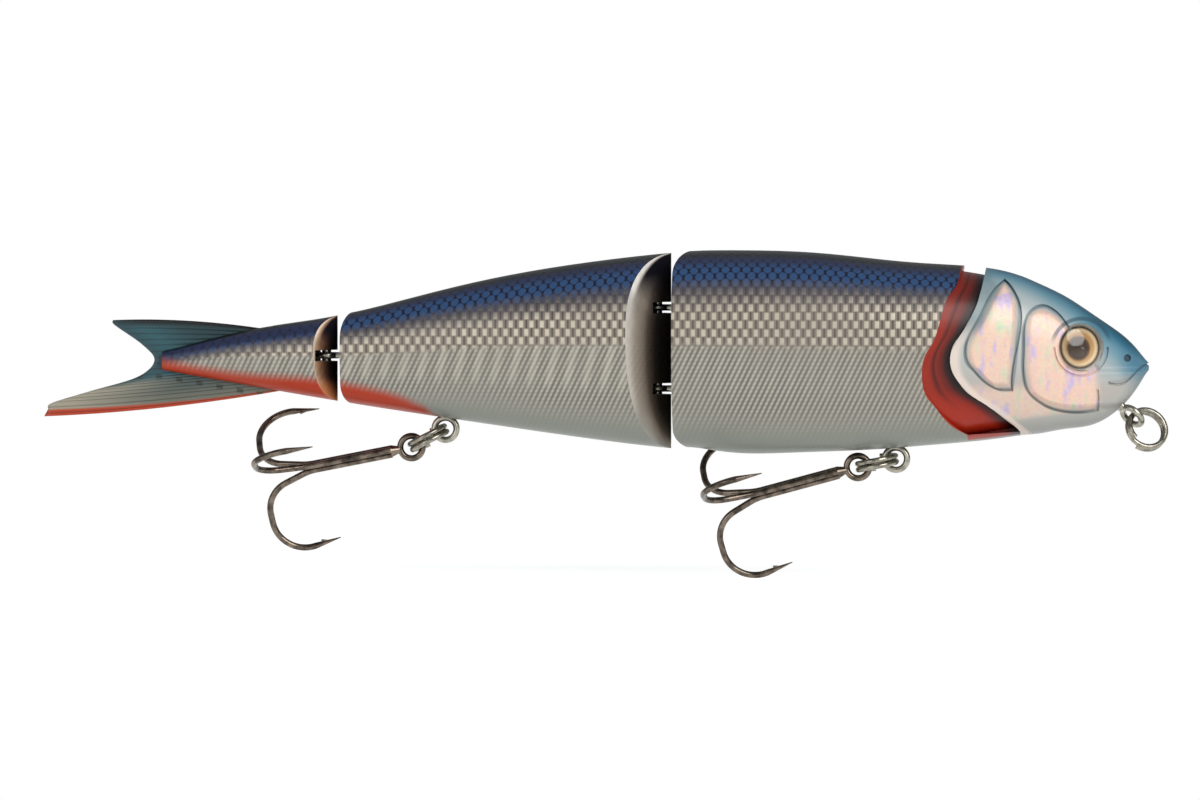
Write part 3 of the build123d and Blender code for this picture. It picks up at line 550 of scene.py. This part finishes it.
def head_skin(fish, opercle, plate):
    """Crown, jaw and snout, the pearl in the plates, and painted shade in the grooves round them and inside
    the gill cover's upper rear edge.
    """
    tree, x, z = fish.tree, fish.x, fish.z
    pearl = pearl_lacquer(fish)
    crown, jaw = ramp(tree, fish.chord, *CROWN), ramp(tree, fish.over_belly, *JAW)
    skin = add(tree, "MixRGB", fade(tree, fish.share, 0.30, 0.48), jaw, crown)
    cheek_side = fade(tree, x, -7.4, -9.6)
    filled = add(tree, "MixRGB", fade(tree, fish.chord, 7.4, 4.6), pearl, crown)
    fill = add(tree, "MULTIPLY", fade(tree, plate, 0.3, 1.5, 0.0, 0.97), cheek_side)
    skin = add(tree, "MixRGB", fill, skin, filled)
    under_plates = add(tree, "MULTIPLY", fade(tree, fish.over_belly, 2.4, 3.6),
                       add(tree, "MULTIPLY", fade(tree, z, 8.5, 6.0), cheek_side))
    skin = add(tree, "MixRGB", add(tree, "MULTIPLY", under_plates, 0.7), skin, pearl)
    snout = flat_distance(fish, SNOUT_X, SNOUT_Z)
    skin = add(tree, "MixRGB", fade(tree, snout, 6.2, 0.8, 0.0, 0.85), skin, paint("#4a788d"))
    open_cheek = fade(tree, x, CHEEK_FORE_X - 4.0, CHEEK_FORE_X)
    # painted shade in the groove round each plate, left out at the cheek's open front
    groove = add(tree, "MULTIPLY", fade(tree, plate, -0.15, 0.05), fade(tree, plate, 0.75, 0.40))
    groove = add(tree, "MULTIPLY", groove, add(tree, "SUBTRACT", 1.0, open_cheek))
    skin = add(tree, "MixRGB", add(tree, "MULTIPLY", groove, 0.6), skin, paint("#56707a"))
    # painted shade inside the gill cover along its upper rear edge
    shade = add(tree, "MULTIPLY", fade(tree, opercle, 3.0, 0.3), fade(tree, fish.share, 0.52, 0.72))
    behind = gap_between(fish, fish.upright_line(*OPERCLE_FORE), x)
    shade = add(tree, "MULTIPLY", shade, fade(tree, behind, 1.2, 3.2))
    return add(tree, "MixRGB", add(tree, "MULTIPLY", shade, 0.6), skin, paint("#5f7c83"))


print("crown paints:", len(CROWN), "jaw paints:", len(JAW))

# %% [markdown]
# ## Marks of the head
# The mouth, the nostril and the brow are sunk into the moulding already. Painted shade darkens them, and
# a brush adds the gill cover's pale lip. Each is drawn by the distance from a line or a point, since shade
# in a groove is soft at its edges and a little wider than the groove.

# %% Mouth, nostril, brow and lip
MOUTH = ((0.3, 11.0), (-1.4, 10.2), (-2.9, 8.7), (-6.5, 7.9))
EYE_X, EYE_Z, NOSTRIL = -11.1, 14.0, (-3.3, 12.1)
BROW_RADIUS = 4.85


def head_marks(fish, skin, before_gill):
    """The skin with painted shade in its mouth, nostril and brow, and its brushed pale lip; `before_gill`
    is the distance in mm before the gill.
    """
    tree, x, z = fish.tree, fish.x, fish.z
    # painted shade in the mouth's fold, the nostril's pit and along the brow above the eye
    mouth = add(tree, "ABSOLUTE", gap_between(fish, z, fish.line(*MOUTH)))
    mouth = add(tree, "MULTIPLY", fade(tree, mouth, 0.5, 0.15), fade(tree, x, -6.9, -6.3))
    skin = add(tree, "MixRGB", add(tree, "MULTIPLY", mouth, 0.25), skin, paint("#4c6673"))
    skin = add(tree, "MixRGB", fade(tree, flat_distance(fish, *NOSTRIL), 0.75, 0.5), skin, paint("#33495a"))
    brow = add(tree, "ABSOLUTE", gap_between(fish, flat_distance(fish, EYE_X, EYE_Z), BROW_RADIUS))
    brow = add(tree, "MULTIPLY", fade(tree, brow, 0.45, 0.2), fade(tree, z, EYE_Z + 0.5, EYE_Z + 2.5))
    skin = add(tree, "MixRGB", add(tree, "MULTIPLY", brow, 0.7), skin, paint("#2f505e"))
    lip = add(tree, "MULTIPLY", fade(tree, before_gill, 2.1, 0.9), fade(tree, fish.share, 0.72, 0.5))
    return add(tree, "MixRGB", add(tree, "MULTIPLY", lip, 0.8), skin, paint("#ead9cc"))


print("brow", round(BROW_RADIUS, 2), "mm from the eye's middle")

# %% [markdown]
# ## Front body
# The front body puts flank, gill and head together. The foil's pattern ends where the head and the gill
# begin, and each plate rises softly towards its middle. The grooves round the plates are in the shells,
# and the rise is a bump in the material, because it does not show in the outline.

# %% Front body's paint
PLATE_DOME = 11.0          # in depths of the pressed foil
PAINTED_METAL = 0.3        # share of the foil's gleam that is left under the head's paint


def front_paint():
    material, tree = new_material("hot-stamped foil, pearl lacquer and airbrush, front body")
    fish = Fish(tree)
    colour, height, metal = sprayed_flank(fish, 0.12)
    red, gill, before_head = gill_red_and_shadow(fish)
    colour = add(tree, "MixRGB", gill, colour, red)

    opercle, cheek = gill_cover(fish), cheek_plate(fish)
    plate = add(tree, "MAXIMUM", opercle, cheek)
    before_gill = add(tree, "MULTIPLY", before_head, -1.0)
    skin = head_marks(fish, head_skin(fish, opercle, plate), before_gill)
    head = add(tree, "GREATER_THAN", before_gill, -0.02)
    colour = add(tree, "MixRGB", head, colour, skin)
    colour = shaded_flat_end(fish, colour, FRONT_END_X)

    painted = add(tree, "MAXIMUM", gill, head)
    height = add(tree, "MULTIPLY", height, add(tree, "SUBTRACT", 1.0, painted))
    metal = add(tree, "MULTIPLY", metal, fade(tree, painted, 0.0, 1.0, 1.0, PAINTED_METAL))
    dome = add(tree, "MULTIPLY", fade(tree, plate, 0.3, 1.7), head)
    clear_coated(tree, colour, add(tree, "MULTIPLY_ADD", dome, PLATE_DOME, height), metal)
    return material


dress(front_paint(), "front_shell_left", "front_shell_right")
print("three bodies painted")

# %% [markdown]
# ## Eyes
# Each eye is a foil disc printed with a gold iris and a brown pupil, under a clear moulded dome. The rings
# are drawn by the distance from the eye's own axis, found from the disc itself. Discs of other colours
# laid on each other would do as well, but a print has soft edges and no thickness. The foil's metal shows
# through the ink, so the print is a third metallic, and the dome's acrylic bends the light over it.

# %% Iris and lens
def disc_axis(node):
    """Middle and normal of a flat disc: the middle of its points, and the direction they spread least."""
    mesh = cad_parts[node].data
    points = np.empty(len(mesh.vertices) * 3)
    mesh.vertices.foreach_get("co", points)
    points = points.reshape(-1, 3)
    middle = (points.max(axis=0) + points.min(axis=0)) / 2
    directions = np.linalg.svd(points - points.mean(axis=0), full_matrices=False)[2]
    return middle, directions[2]


PUPIL_SHIFT = (-0.25, 0.0, -0.15)         # mm: the print sits a little low and aft
IRIS_RINGS = ((0.0, "#b98a4c"), (2.2, "#d2a468"), (2.7, "#f2dbb2"), (2.95, "#d9b88a"), (3.1, "#4a3b2c"),
              (3.3, "#3a3129"), (3.5, "#aaa69d"), (4.0, "#d8d5cd"))
PUPIL_RINGS = ((0.0, "#4d3a2c"), (1.5, "#432f22"), (1.8, "#6f4d2c"), (2.1, "#b98c56"))


def iris_print(node):
    """Ink on brushed foil: rings of colour in mm from the axis, with fine streaks in the gloss."""
    material, tree = new_material("printed foil, " + node.replace("_", " "))
    middle, axis = disc_axis(node)
    place = add(tree, "TexCoord").node.outputs["Object"]
    rings = []
    for shift in ((0.0, 0.0, 0.0), PUPIL_SHIFT):
        centre = tuple(middle + np.array(shift) * MM)
        offset = add(tree, "VectorMath", place, centre, operation="SUBTRACT")
        around = add(tree, "VectorMath", offset, tuple(axis), operation="CROSS_PRODUCT")
        radius = add(tree, "VectorMath", around, operation="LENGTH", out=1)
        rings.append(add(tree, "MULTIPLY", radius, 1 / MM))
    within = fade(tree, rings[1], 2.1, 1.8)
    iris, pupil = ramp(tree, rings[0], *IRIS_RINGS), ramp(tree, rings[1], *PUPIL_RINGS)
    colour = add(tree, "MixRGB", within, iris, pupil)
    streaks = add(tree, "TexNoise", place, named={"Scale": 2500.0, "Detail": 2.0})
    roughness = add(tree, "MapRange", streaks, 0.3, 0.7, 0.3, 0.5)
    surface = add(tree, "BsdfPrincipled", named={
        "Base Color": colour, "Metallic": 0.35, "Roughness": roughness})
    add(tree, "OutputMaterial", surface)
    return material


def clear_lens():
    """Moulded acrylic: refractive index 1.49, perfectly smooth."""
    material, tree = new_material("clear moulded acrylic")
    surface = add(tree, "BsdfPrincipled", named={
        "Base Color": paint("#fffdf8"), "Roughness": 0.02, "IOR": 1.49, "Transmission Weight": 1.0,
        "Specular IOR Level": 0.2})
    add(tree, "OutputMaterial", surface)
    return material


for side in ("left", "right"):
    dress(iris_print("iris_" + side), "iris_" + side)
    print("iris", side, "faces", [round(float(v), 2) for v in disc_axis("iris_" + side)[1]])
dress(clear_lens(), "eye_lens_left", "eye_lens_right")

# %% [markdown]
# ## Wire
# Three kinds of wire are on the lure: drawn stainless in the wire eyes and pins, nickel-plated spring wire
# in the split rings, and hooks plated in black nickel, which looks bronze where it catches light. Drawing
# and plating leave marks too fine to see one by one; a soft noise in colour and roughness stands for them.
# Its grain of 1 to 2 mm is coarser than the real marks, so that it shows at arm's length. The ballast is
# cast, and its skin is duller than any wire's.

# %% Metals
def wire(name, colour, worn, roughness, grain):
    """Plated or drawn wire; grain is the size of its cloudy marks in mm."""
    material, tree = new_material(name)
    place = add(tree, "TexCoord").node.outputs["Object"]
    noise = add(tree, "TexNoise", place, named={"Scale": 1 / (grain * MM), "Detail": 4.0})
    tint = ramp(tree, noise, (0.35, colour), (0.65, worn))
    rough = add(tree, "MapRange", noise, 0.3, 0.7, roughness * 0.7, roughness * 1.3)
    bump = add(tree, "Bump", 0.2, 0.01 * MM, named={"Height": noise})
    surface = add(tree, "BsdfPrincipled", named={
        "Base Color": tint, "Metallic": 1.0, "Roughness": rough, "Normal": bump})
    add(tree, "OutputMaterial", surface)
    return material


# each metal's name, colour, worn colour, roughness and grain in mm, then the nodes made of it
METALS = (
    (("drawn stainless wire", "#8d8a80", "#b7b3a6", 0.28, 1.2),
     ("line_tie", "front_hanger", "rear_hanger", "hinge_eye_upper", "hinge_eye_lower", "tail_hinge_eye",
      "main_hinge_pin", "tail_hinge_pin")),
    (("nickel-plated spring wire", "#77736a", "#a8a394", 0.24, 1.0),
     ("line_ring", "front_ring", "rear_ring")),
    (("black nickel on hook wire", "#433c36", "#83766a", 0.22, 1.5), ("front_treble", "rear_treble")),
    (("cast ballast metal", "#5a5b5e", "#7b7c80", 0.5, 2.0), ("front_ballast", "middle_ballast")),
)
for finish, nodes in METALS:
    dress(wire(*finish), *nodes)
    print(finish[0] + ":", len(nodes), "pieces")

# %% [markdown]
# ## Tail fin
# The fin is a sheet of soft vinyl with rays moulded into both faces, thinning from its root to its edge. It
# could be a flat plate with a bump, but the rays show along its edge and in raking light, so they are
# modelled. Each ray runs from the root to the trailing edge. One parameter goes along a ray and the
# other from ray to ray, and a third dimension, the thickness, swells and sinks with the second.

# %% Fin surface
FIN_ROOT_X, FIN_LENGTH, FIN_LOW_Z, FIN_HEIGHT = -150.0, 39.7, 1.7, 16.6
FIN_TOP_BEND, FIN_LOW_BEND = (0.36, 1.035), (0.50, 0.045)
FIN_TRAILING = ((0.700, 1.000), (0.690, 0.945), (0.569, 0.741), (0.519, 0.578), (0.594, 0.410),
                (0.800, 0.262), (0.966, 0.139), (0.984, 0.070), (1.000, 0.000))
FIN_ROOT = ((0.0, 0.898), (-0.045, 0.275))  # the root's two ends, which the tail body covers
FIN_ROOT_HALF, FIN_THINNING, FIN_EDGE_HALF = 0.5, 0.3, 0.004   # mm of half thickness
SIDE_ROUNDING, END_ROUNDING = 60, 30        # one over the share of the sheet that its edges round off in
RAYS = 19
RAY_RELIEF = 0.14 * MM
FIN_ALONG, FIN_ACROSS = 90, 420


def smooth_row(points, count):
    """A Catmull-Rom line: between p1 and p2, with p0 before and p3 after, at a share u,

    p1 + u (p2 - p0) / 2 + u^2 (2 p0 - 5 p1 + 4 p2 - p3) / 2 + u^3 (3 p1 - p0 - 3 p2 + p3) / 2.
    """
    points = np.array(points)
    ends = np.concatenate([2 * points[:1] - points[1:2], points, 2 * points[-1:] - points[-2:-1]])
    steps = np.concatenate([[0], np.cumsum(np.linalg.norm(np.diff(points, axis=0), axis=1))])
    run = np.interp(np.linspace(0, steps[-1], count), steps, np.arange(len(points)))
    number = np.minimum(run.astype(int), len(points) - 2)
    u = (run - number)[:, None]
    p0, p1, p2, p3 = (ends[number + k] for k in range(4))
    return (p1 + u * (p2 - p0) / 2 + u**2 * (2 * p0 - 5 * p1 + 4 * p2 - p3) / 2
            + u**3 * (3 * p1 - p0 - 3 * p2 + p3) / 2)


def fin_surface():
    """Point (s, t) = (1-s)^2 root(t) + 2 s (1-s) bend(t) + s^2 edge(t), on faces at +- half the thickness.

    The half thickness falls from 0.5 mm at the root to 0.2 mm at the edge, less the furrows between the
    rays, RAY_RELIEF (1 - sqrt(|cos(pi rays t)|)), and goes to almost nothing at the very edge.
    """
    s = np.linspace(0, 1, FIN_ALONG)[:, None, None]
    t = np.linspace(0, 1, FIN_ACROSS)[None, :, None]
    edge = smooth_row(FIN_TRAILING, FIN_ACROSS)[None]
    top_end, low_end = np.array(FIN_ROOT)
    root = top_end + (low_end - top_end) * t
    straight = (root + edge) / 2
    top, low = np.array(FIN_TOP_BEND), np.array(FIN_LOW_BEND)
    pull = (1 - t)**6 * (top - straight[:, :1]) + t**6 * (low - straight[:, -1:])
    bend = straight + pull
    sheet = (1 - s)**2 * root + 2 * s * (1 - s) * bend + s**2 * edge
    x = (FIN_ROOT_X - sheet[..., 0] * FIN_LENGTH) * MM
    z = (FIN_LOW_Z + sheet[..., 1] * FIN_HEIGHT) * MM
    s, t = s[..., 0], t[..., 0]
    rim = np.minimum(1, np.minimum(np.minimum(t, 1 - t) * SIDE_ROUNDING, (1 - s) * END_ROUNDING))
    rim = np.clip(rim, 0, 1)
    ridge = np.abs(np.cos(np.pi * RAYS * t))**0.5
    depth = 0.35 + 0.65 * np.sin(np.pi * s)  # the furrows are deepest half way out
    half = (FIN_ROOT_HALF - FIN_THINNING * s) * MM * np.sqrt(rim) - RAY_RELIEF * (1 - ridge) * rim * depth
    half = np.clip(half, FIN_EDGE_HALF * MM, FIN_ROOT_HALF * MM)
    return x, half, z, t + 0 * s, s + 0 * t


def closed_sheet(name, x, half, z, material):
    """Two grids at -half and +half, joined round their border."""
    rows, columns = x.shape
    near = np.stack([x, -half, z], axis=-1).reshape(-1, 3)
    far = np.stack([x, half, z], axis=-1).reshape(-1, 3)
    index = np.arange(rows * columns).reshape(rows, columns)
    quads = np.stack([index[:-1, :-1], index[1:, :-1], index[1:, 1:], index[:-1, 1:]], axis=-1)
    quads = quads.reshape(-1, 4)
    border = np.concatenate([index[0, :-1], index[:-1, -1], index[-1, :0:-1], index[:0:-1, 0]])
    after = np.roll(border, -1)
    band = np.stack([border, after, after + index.size, border + index.size], axis=-1)
    faces = np.concatenate([quads, quads[:, ::-1] + index.size, band])
    mesh = bpy.data.meshes.new(name)
    mesh.from_pydata(np.concatenate([near, far]).tolist(), [], faces.tolist())
    mesh.polygons.foreach_set("use_smooth", np.ones(len(faces), bool))
    mesh.materials.append(material)
    mesh.update()
    piece = bpy.data.objects.new(name, mesh)
    bpy.context.scene.collection.objects.link(piece)
    return piece


print("fin grid:", FIN_ALONG, "by", FIN_ACROSS, "with", RAYS, "rays")

# %% [markdown]
# ## Vinyl of the fin
# Soft vinyl is cast with its rays and then sprayed, and it is painted darker between the rays than on them.
# It lets a little light in and has a satin skin, which asks for a touch of subsurface scattering.
# Its paints follow the rays, which fan out, so two attributes stored on the sheet place them.

# %% Fin material and piece
FIN_PAINTS = ((0.0, "#040506"), (0.022, "#06100f"), (0.06, "#113439"), (0.16, "#183c42"), (0.40, "#13353b"),
              (0.50, "#152f35"), (0.58, "#203d42"), (0.66, "#43524f"), (0.80, "#565e58"), (0.95, "#6e6d61"))
DASH_SPACING = 3.5         # mm between the moulded slots under the tail body
FINE_ACROSS, FINE_ALONG = 160.0, 4.0       # streaks over the fin's width and along a ray


def fin_vinyl():
    """Soft vinyl, tinted teal above and warm grey below, dark between the rays, orange at its lower edge.

    The tint is placed by two attributes stored on the sheet: `ray`, from the upper edge (0) to the
    lower (1), and `out`, from the root (0) to the trailing edge (1).
    """
    material, tree = new_material("airbrushed soft vinyl")
    ray = add(tree, "Attribute", attribute_name="ray", out=2)
    out = add(tree, "Attribute", attribute_name="out", out=2)
    fish = Fish(tree)
    base = ramp(tree, ray, *FIN_PAINTS)
    tip = fade(tree, out, 0.45, 1.0, 0.0, 0.75)
    tipped = add(tree, "MixRGB", fade(tree, ray, 0.50, 0.72), paint("#2f6570"), paint("#b3a894"))
    upper_rim = fade(tree, ray, 0.03, 0.08)
    colour = add(tree, "MixRGB", add(tree, "MULTIPLY", tip, upper_rim), base, tipped)
    fork = add(tree, "MULTIPLY", fade(tree, out, 0.80, 1.0), fade(tree, ray, 0.74, 0.62))
    colour = add(tree, "MixRGB", add(tree, "MULTIPLY", fork, 0.7), colour, paint("#1d3a42"))
    low_edge = add(tree, "MULTIPLY_ADD", out, -0.030, add(tree, "SUBTRACT", 1.045, ray))
    colour = add(tree, "MixRGB", fade(tree, low_edge, 0.085, 0.06), colour, paint("#b4380f"))
    # painted shadows of moulded slots, as short dark dashes under the tail body
    below = add(tree, "MULTIPLY", fade(tree, fish.over_belly, -1.7, -1.25),
                fade(tree, fish.over_belly, -0.5, -0.9))
    slot_shadow = add(tree, "PINGPONG", add(tree, "DIVIDE", fish.x, DASH_SPACING), 0.5)
    slot_shadow = fade(tree, slot_shadow, 0.30, 0.38)
    slot_shadow = add(tree, "MULTIPLY", add(tree, "MULTIPLY", below, slot_shadow), 0.75)
    colour = add(tree, "MixRGB", slot_shadow, colour, paint("#22281f"))
    ridge = add(tree, "PINGPONG", add(tree, "MULTIPLY", ray, float(RAYS)), 0.5)
    line = fade(tree, ridge, 0.30, 0.5, 0.0, 0.45)
    colour = add(tree, "MixRGB", line, colour, paint("#1d3f49"), blend_type="MULTIPLY")
    drawn = add(tree, "CombineXYZ", add(tree, "MULTIPLY", ray, FINE_ACROSS),
                add(tree, "MULTIPLY", out, FINE_ALONG))
    fine = add(tree, "TexNoise", drawn, named={"Scale": 1.0, "Detail": 2.0})
    colour = add(tree, "MixRGB", fade(tree, fine, 0.35, 0.65, 0.0, 0.35), colour, paint("#9fb0ac"),
                 blend_type="SOFT_LIGHT")
    bump = add(tree, "Bump", 0.4, 0.03 * MM, named={"Height": fine})
    surface = add(tree, "BsdfPrincipled", named={
        "Base Color": colour, "Roughness": 0.38, "Normal": bump, "Subsurface Weight": 0.08,
        "Subsurface Radius": (0.001, 0.001, 0.001), "Subsurface Scale": 1.0})
    add(tree, "OutputMaterial", surface)
    return material


fin_x, fin_half, fin_z, fin_ray, fin_out = fin_surface()
fin = closed_sheet("rayed_tail_fin", fin_x, fin_half, fin_z, fin_vinyl())
for label, values in (("ray", fin_ray), ("out", fin_out)):
    stored = fin.data.attributes.new(label, "FLOAT", "POINT")
    stored.data.foreach_set("value", np.tile(values.ravel(), 2).astype(np.float32))
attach(fin, "tail")
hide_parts("tail_fin")
print("fin:", len(fin.data.polygons), "faces")

# %% [markdown]
# ## Root of the gill
# Where the two gill recesses come together over the belly, a web of the moulding stays between them. It is
# a low fin-shaped sheet, made with the same closed grid as the tail fin and sprayed with the gill. A sheet
# closes the slot that the two recesses leave without another cut in both shells.

# %% Gill web
WEB_X, WEB_LOW_Z, WEB_HIGH_Z, WEB_HALF = (-29.0, -20.8), -1.15, 0.35, 0.7
WEB_ALONG, WEB_UP = 40, 16


def gill_web():
    """Point (s, t): x and z straight between the web's ends, half thickness WEB_HALF sqrt(sin(pi s))."""
    s, t = np.meshgrid(np.linspace(0, 1, WEB_ALONG), np.linspace(0, 1, WEB_UP), indexing="ij")
    x = (WEB_X[1] + (WEB_X[0] - WEB_X[1]) * s) * MM
    z = (WEB_HIGH_Z + (WEB_LOW_Z - WEB_HIGH_Z) * t) * MM
    half = WEB_HALF * MM * np.sqrt(np.clip(np.sin(np.pi * s), 0.01, 1))
    return closed_sheet("gill_web", x, half, z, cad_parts["front_shell_left"].data.materials[0])


web = gill_web()
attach(web, "front")
print("gill web:", len(web.data.polygons), "faces")

# %% [markdown]
# ## Studio
# A white paper sweep shows the lure without any setting. A real sweep curves up into a wall; here the paper
# is flat and takes the shadow close to the lure, and further out it glows evenly, so there is no line
# where floor meets wall. Its fibres are only a slight change of white, as matt paper looks at this range.

# %% Floor
low, high = (np.array(corner) for corner in cad_box)
centre = (low + high) / 2
# half a millimetre under the lowest hook at rest; a hook that swings down goes through the floor
FLOOR_Z = float(low[2]) - 0.0005
FLOOR_REACH = 4.0
GLOW_FROM, GLOW_FULL = 0.06, 0.30          # metres from the lure over which the shadowed paper ends


def paper():
    """Lit paper near the lure and an even glow further out; to light that bounces, plain matt paper."""
    material, tree = new_material("white paper sweep")
    light = add(tree, "LightPath").node.outputs
    seen = add(tree, "MAXIMUM", light["Is Camera Ray"], light["Is Glossy Ray"])
    seen = add(tree, "MAXIMUM", seen, light["Is Transmission Ray"])
    sheet = add(tree, "TexCoord").node.outputs["Object"]
    place = add(tree, "VectorMath", sheet, (float(centre[0]), 0.0, FLOOR_Z), operation="SUBTRACT")
    place = add(tree, "VectorMath", place, (0.6, 1.0, 1.0), operation="MULTIPLY")
    away = add(tree, "VectorMath", place, operation="LENGTH", out=1)
    away = fade(tree, away, GLOW_FROM, GLOW_FULL)
    fibres = add(tree, "TexNoise", sheet, named={"Scale": 900.0})
    white = ramp(tree, fibres, (0.3, "#f4f4f2"), (0.7, "#f7f7f6"))
    matt = add(tree, "BsdfPrincipled", named={"Base Color": white, "Roughness": 0.9})
    close = add(tree, "AddShader", matt, add(tree, "Emission", (1, 1, 1, 1), 0.5))
    glow = add(tree, "Emission", (1, 1, 1, 1), 1.0)
    shown = add(tree, "MixShader", away, close, glow)
    add(tree, "OutputMaterial", add(tree, "MixShader", seen, matt, shown))
    return material


mesh = bpy.data.meshes.new("studio_floor")
corners = [(x, y, FLOOR_Z) for x, y in ((-1, -1), (1, -1), (1, 1), (-1, 1))]
mesh.from_pydata([(x * FLOOR_REACH, y * FLOOR_REACH, z) for x, y, z in corners], [], [(0, 1, 2, 3)])
mesh.materials.append(paper())
floor = bpy.data.objects.new("studio_floor", mesh)
bpy.context.scene.collection.objects.link(floor)
print("floor at", round(FLOOR_Z / MM, 1), "mm")

# %% [markdown]
# ## Lamps and room
# Three large round softboxes light the lure evenly: the key from the head's side, a weaker fill from the
# tail's side, and one behind that keeps the back from going black. The room is a dim pale blue to the
# shaders and plain white to the camera. Small lamps would give hard highlights on the clear coat.

# %% Lamps and room
def soft_lamp(name, place, size, watts):
    """A round softbox aimed at the middle of the lure."""
    lamp = bpy.data.lights.new(name, "AREA")
    lamp.shape, lamp.size, lamp.energy = "DISK", size, watts
    light = bpy.data.objects.new(name, lamp)
    light.location = place
    light.rotation_euler = (Vector(centre) - Vector(place)).to_track_quat("-Z", "Y").to_euler()
    bpy.context.scene.collection.objects.link(light)
    return light


LAMP_SIZE = 0.60
soft_lamp("key", (centre[0] + 0.50, -0.72, 0.42), LAMP_SIZE, 5.4)
soft_lamp("fill", (centre[0] - 0.55, -0.80, 0.20), LAMP_SIZE, 1.8)
# seen as a reflection, the lamp behind would lay a white veil along the ridge's clear coat
soft_lamp("back", (centre[0] - 0.20, 0.90, 0.50), LAMP_SIZE, 3.5).visible_glossy = False

world = bpy.data.worlds.new("studio")
bpy.context.scene.world = world
world.use_nodes = True
room = world.node_tree
room.nodes.clear()
rays = add(room, "LightPath").node.outputs
shown = add(room, "MAXIMUM", rays["Is Camera Ray"], rays["Is Transmission Ray"])
walls = add(room, "Background", (0.94, 0.97, 1.0, 1), 0.34)
white = add(room, "Background", (1, 1, 1, 1), 1.0)
add(room, "OutputWorld", add(room, "MixShader", shown, walls, white))

# %% [markdown]
# ## Camera
# The camera looks at the lure from its side, almost level with it and a few degrees from the head. A long
# lens stands far away, so both ends are seen as straight on as the middle. From there the gap before the
# middle body's nose narrows to a thin line, but it doesn't close.

# %% Camera
LENS, SENSOR = 300.0, 36.0
VIEW_WIDTH = 0.2058        # what the camera sees across, at the lure
ELEVATION, AZIMUTH = math.radians(1.5), math.radians(4.3)
target = Vector((-0.0937, 0.0, 0.0047))
distance = VIEW_WIDTH * LENS / SENSOR
camera_data = bpy.data.cameras.new("camera")
camera_data.lens, camera_data.sensor_width = LENS, SENSOR
camera = bpy.data.objects.new("camera", camera_data)
sight = Vector((math.sin(AZIMUTH) * math.cos(ELEVATION), -math.cos(AZIMUTH) * math.cos(ELEVATION),
                math.sin(ELEVATION)))
camera.location = target + sight * distance
camera.rotation_euler = (target - camera.location).to_track_quat("-Z", "Y").to_euler()
bpy.context.scene.collection.objects.link(camera)
bpy.context.scene.camera = camera
bpy.context.scene.view_settings.view_transform = "Standard"
print("camera stands", round(distance, 3), "m away")
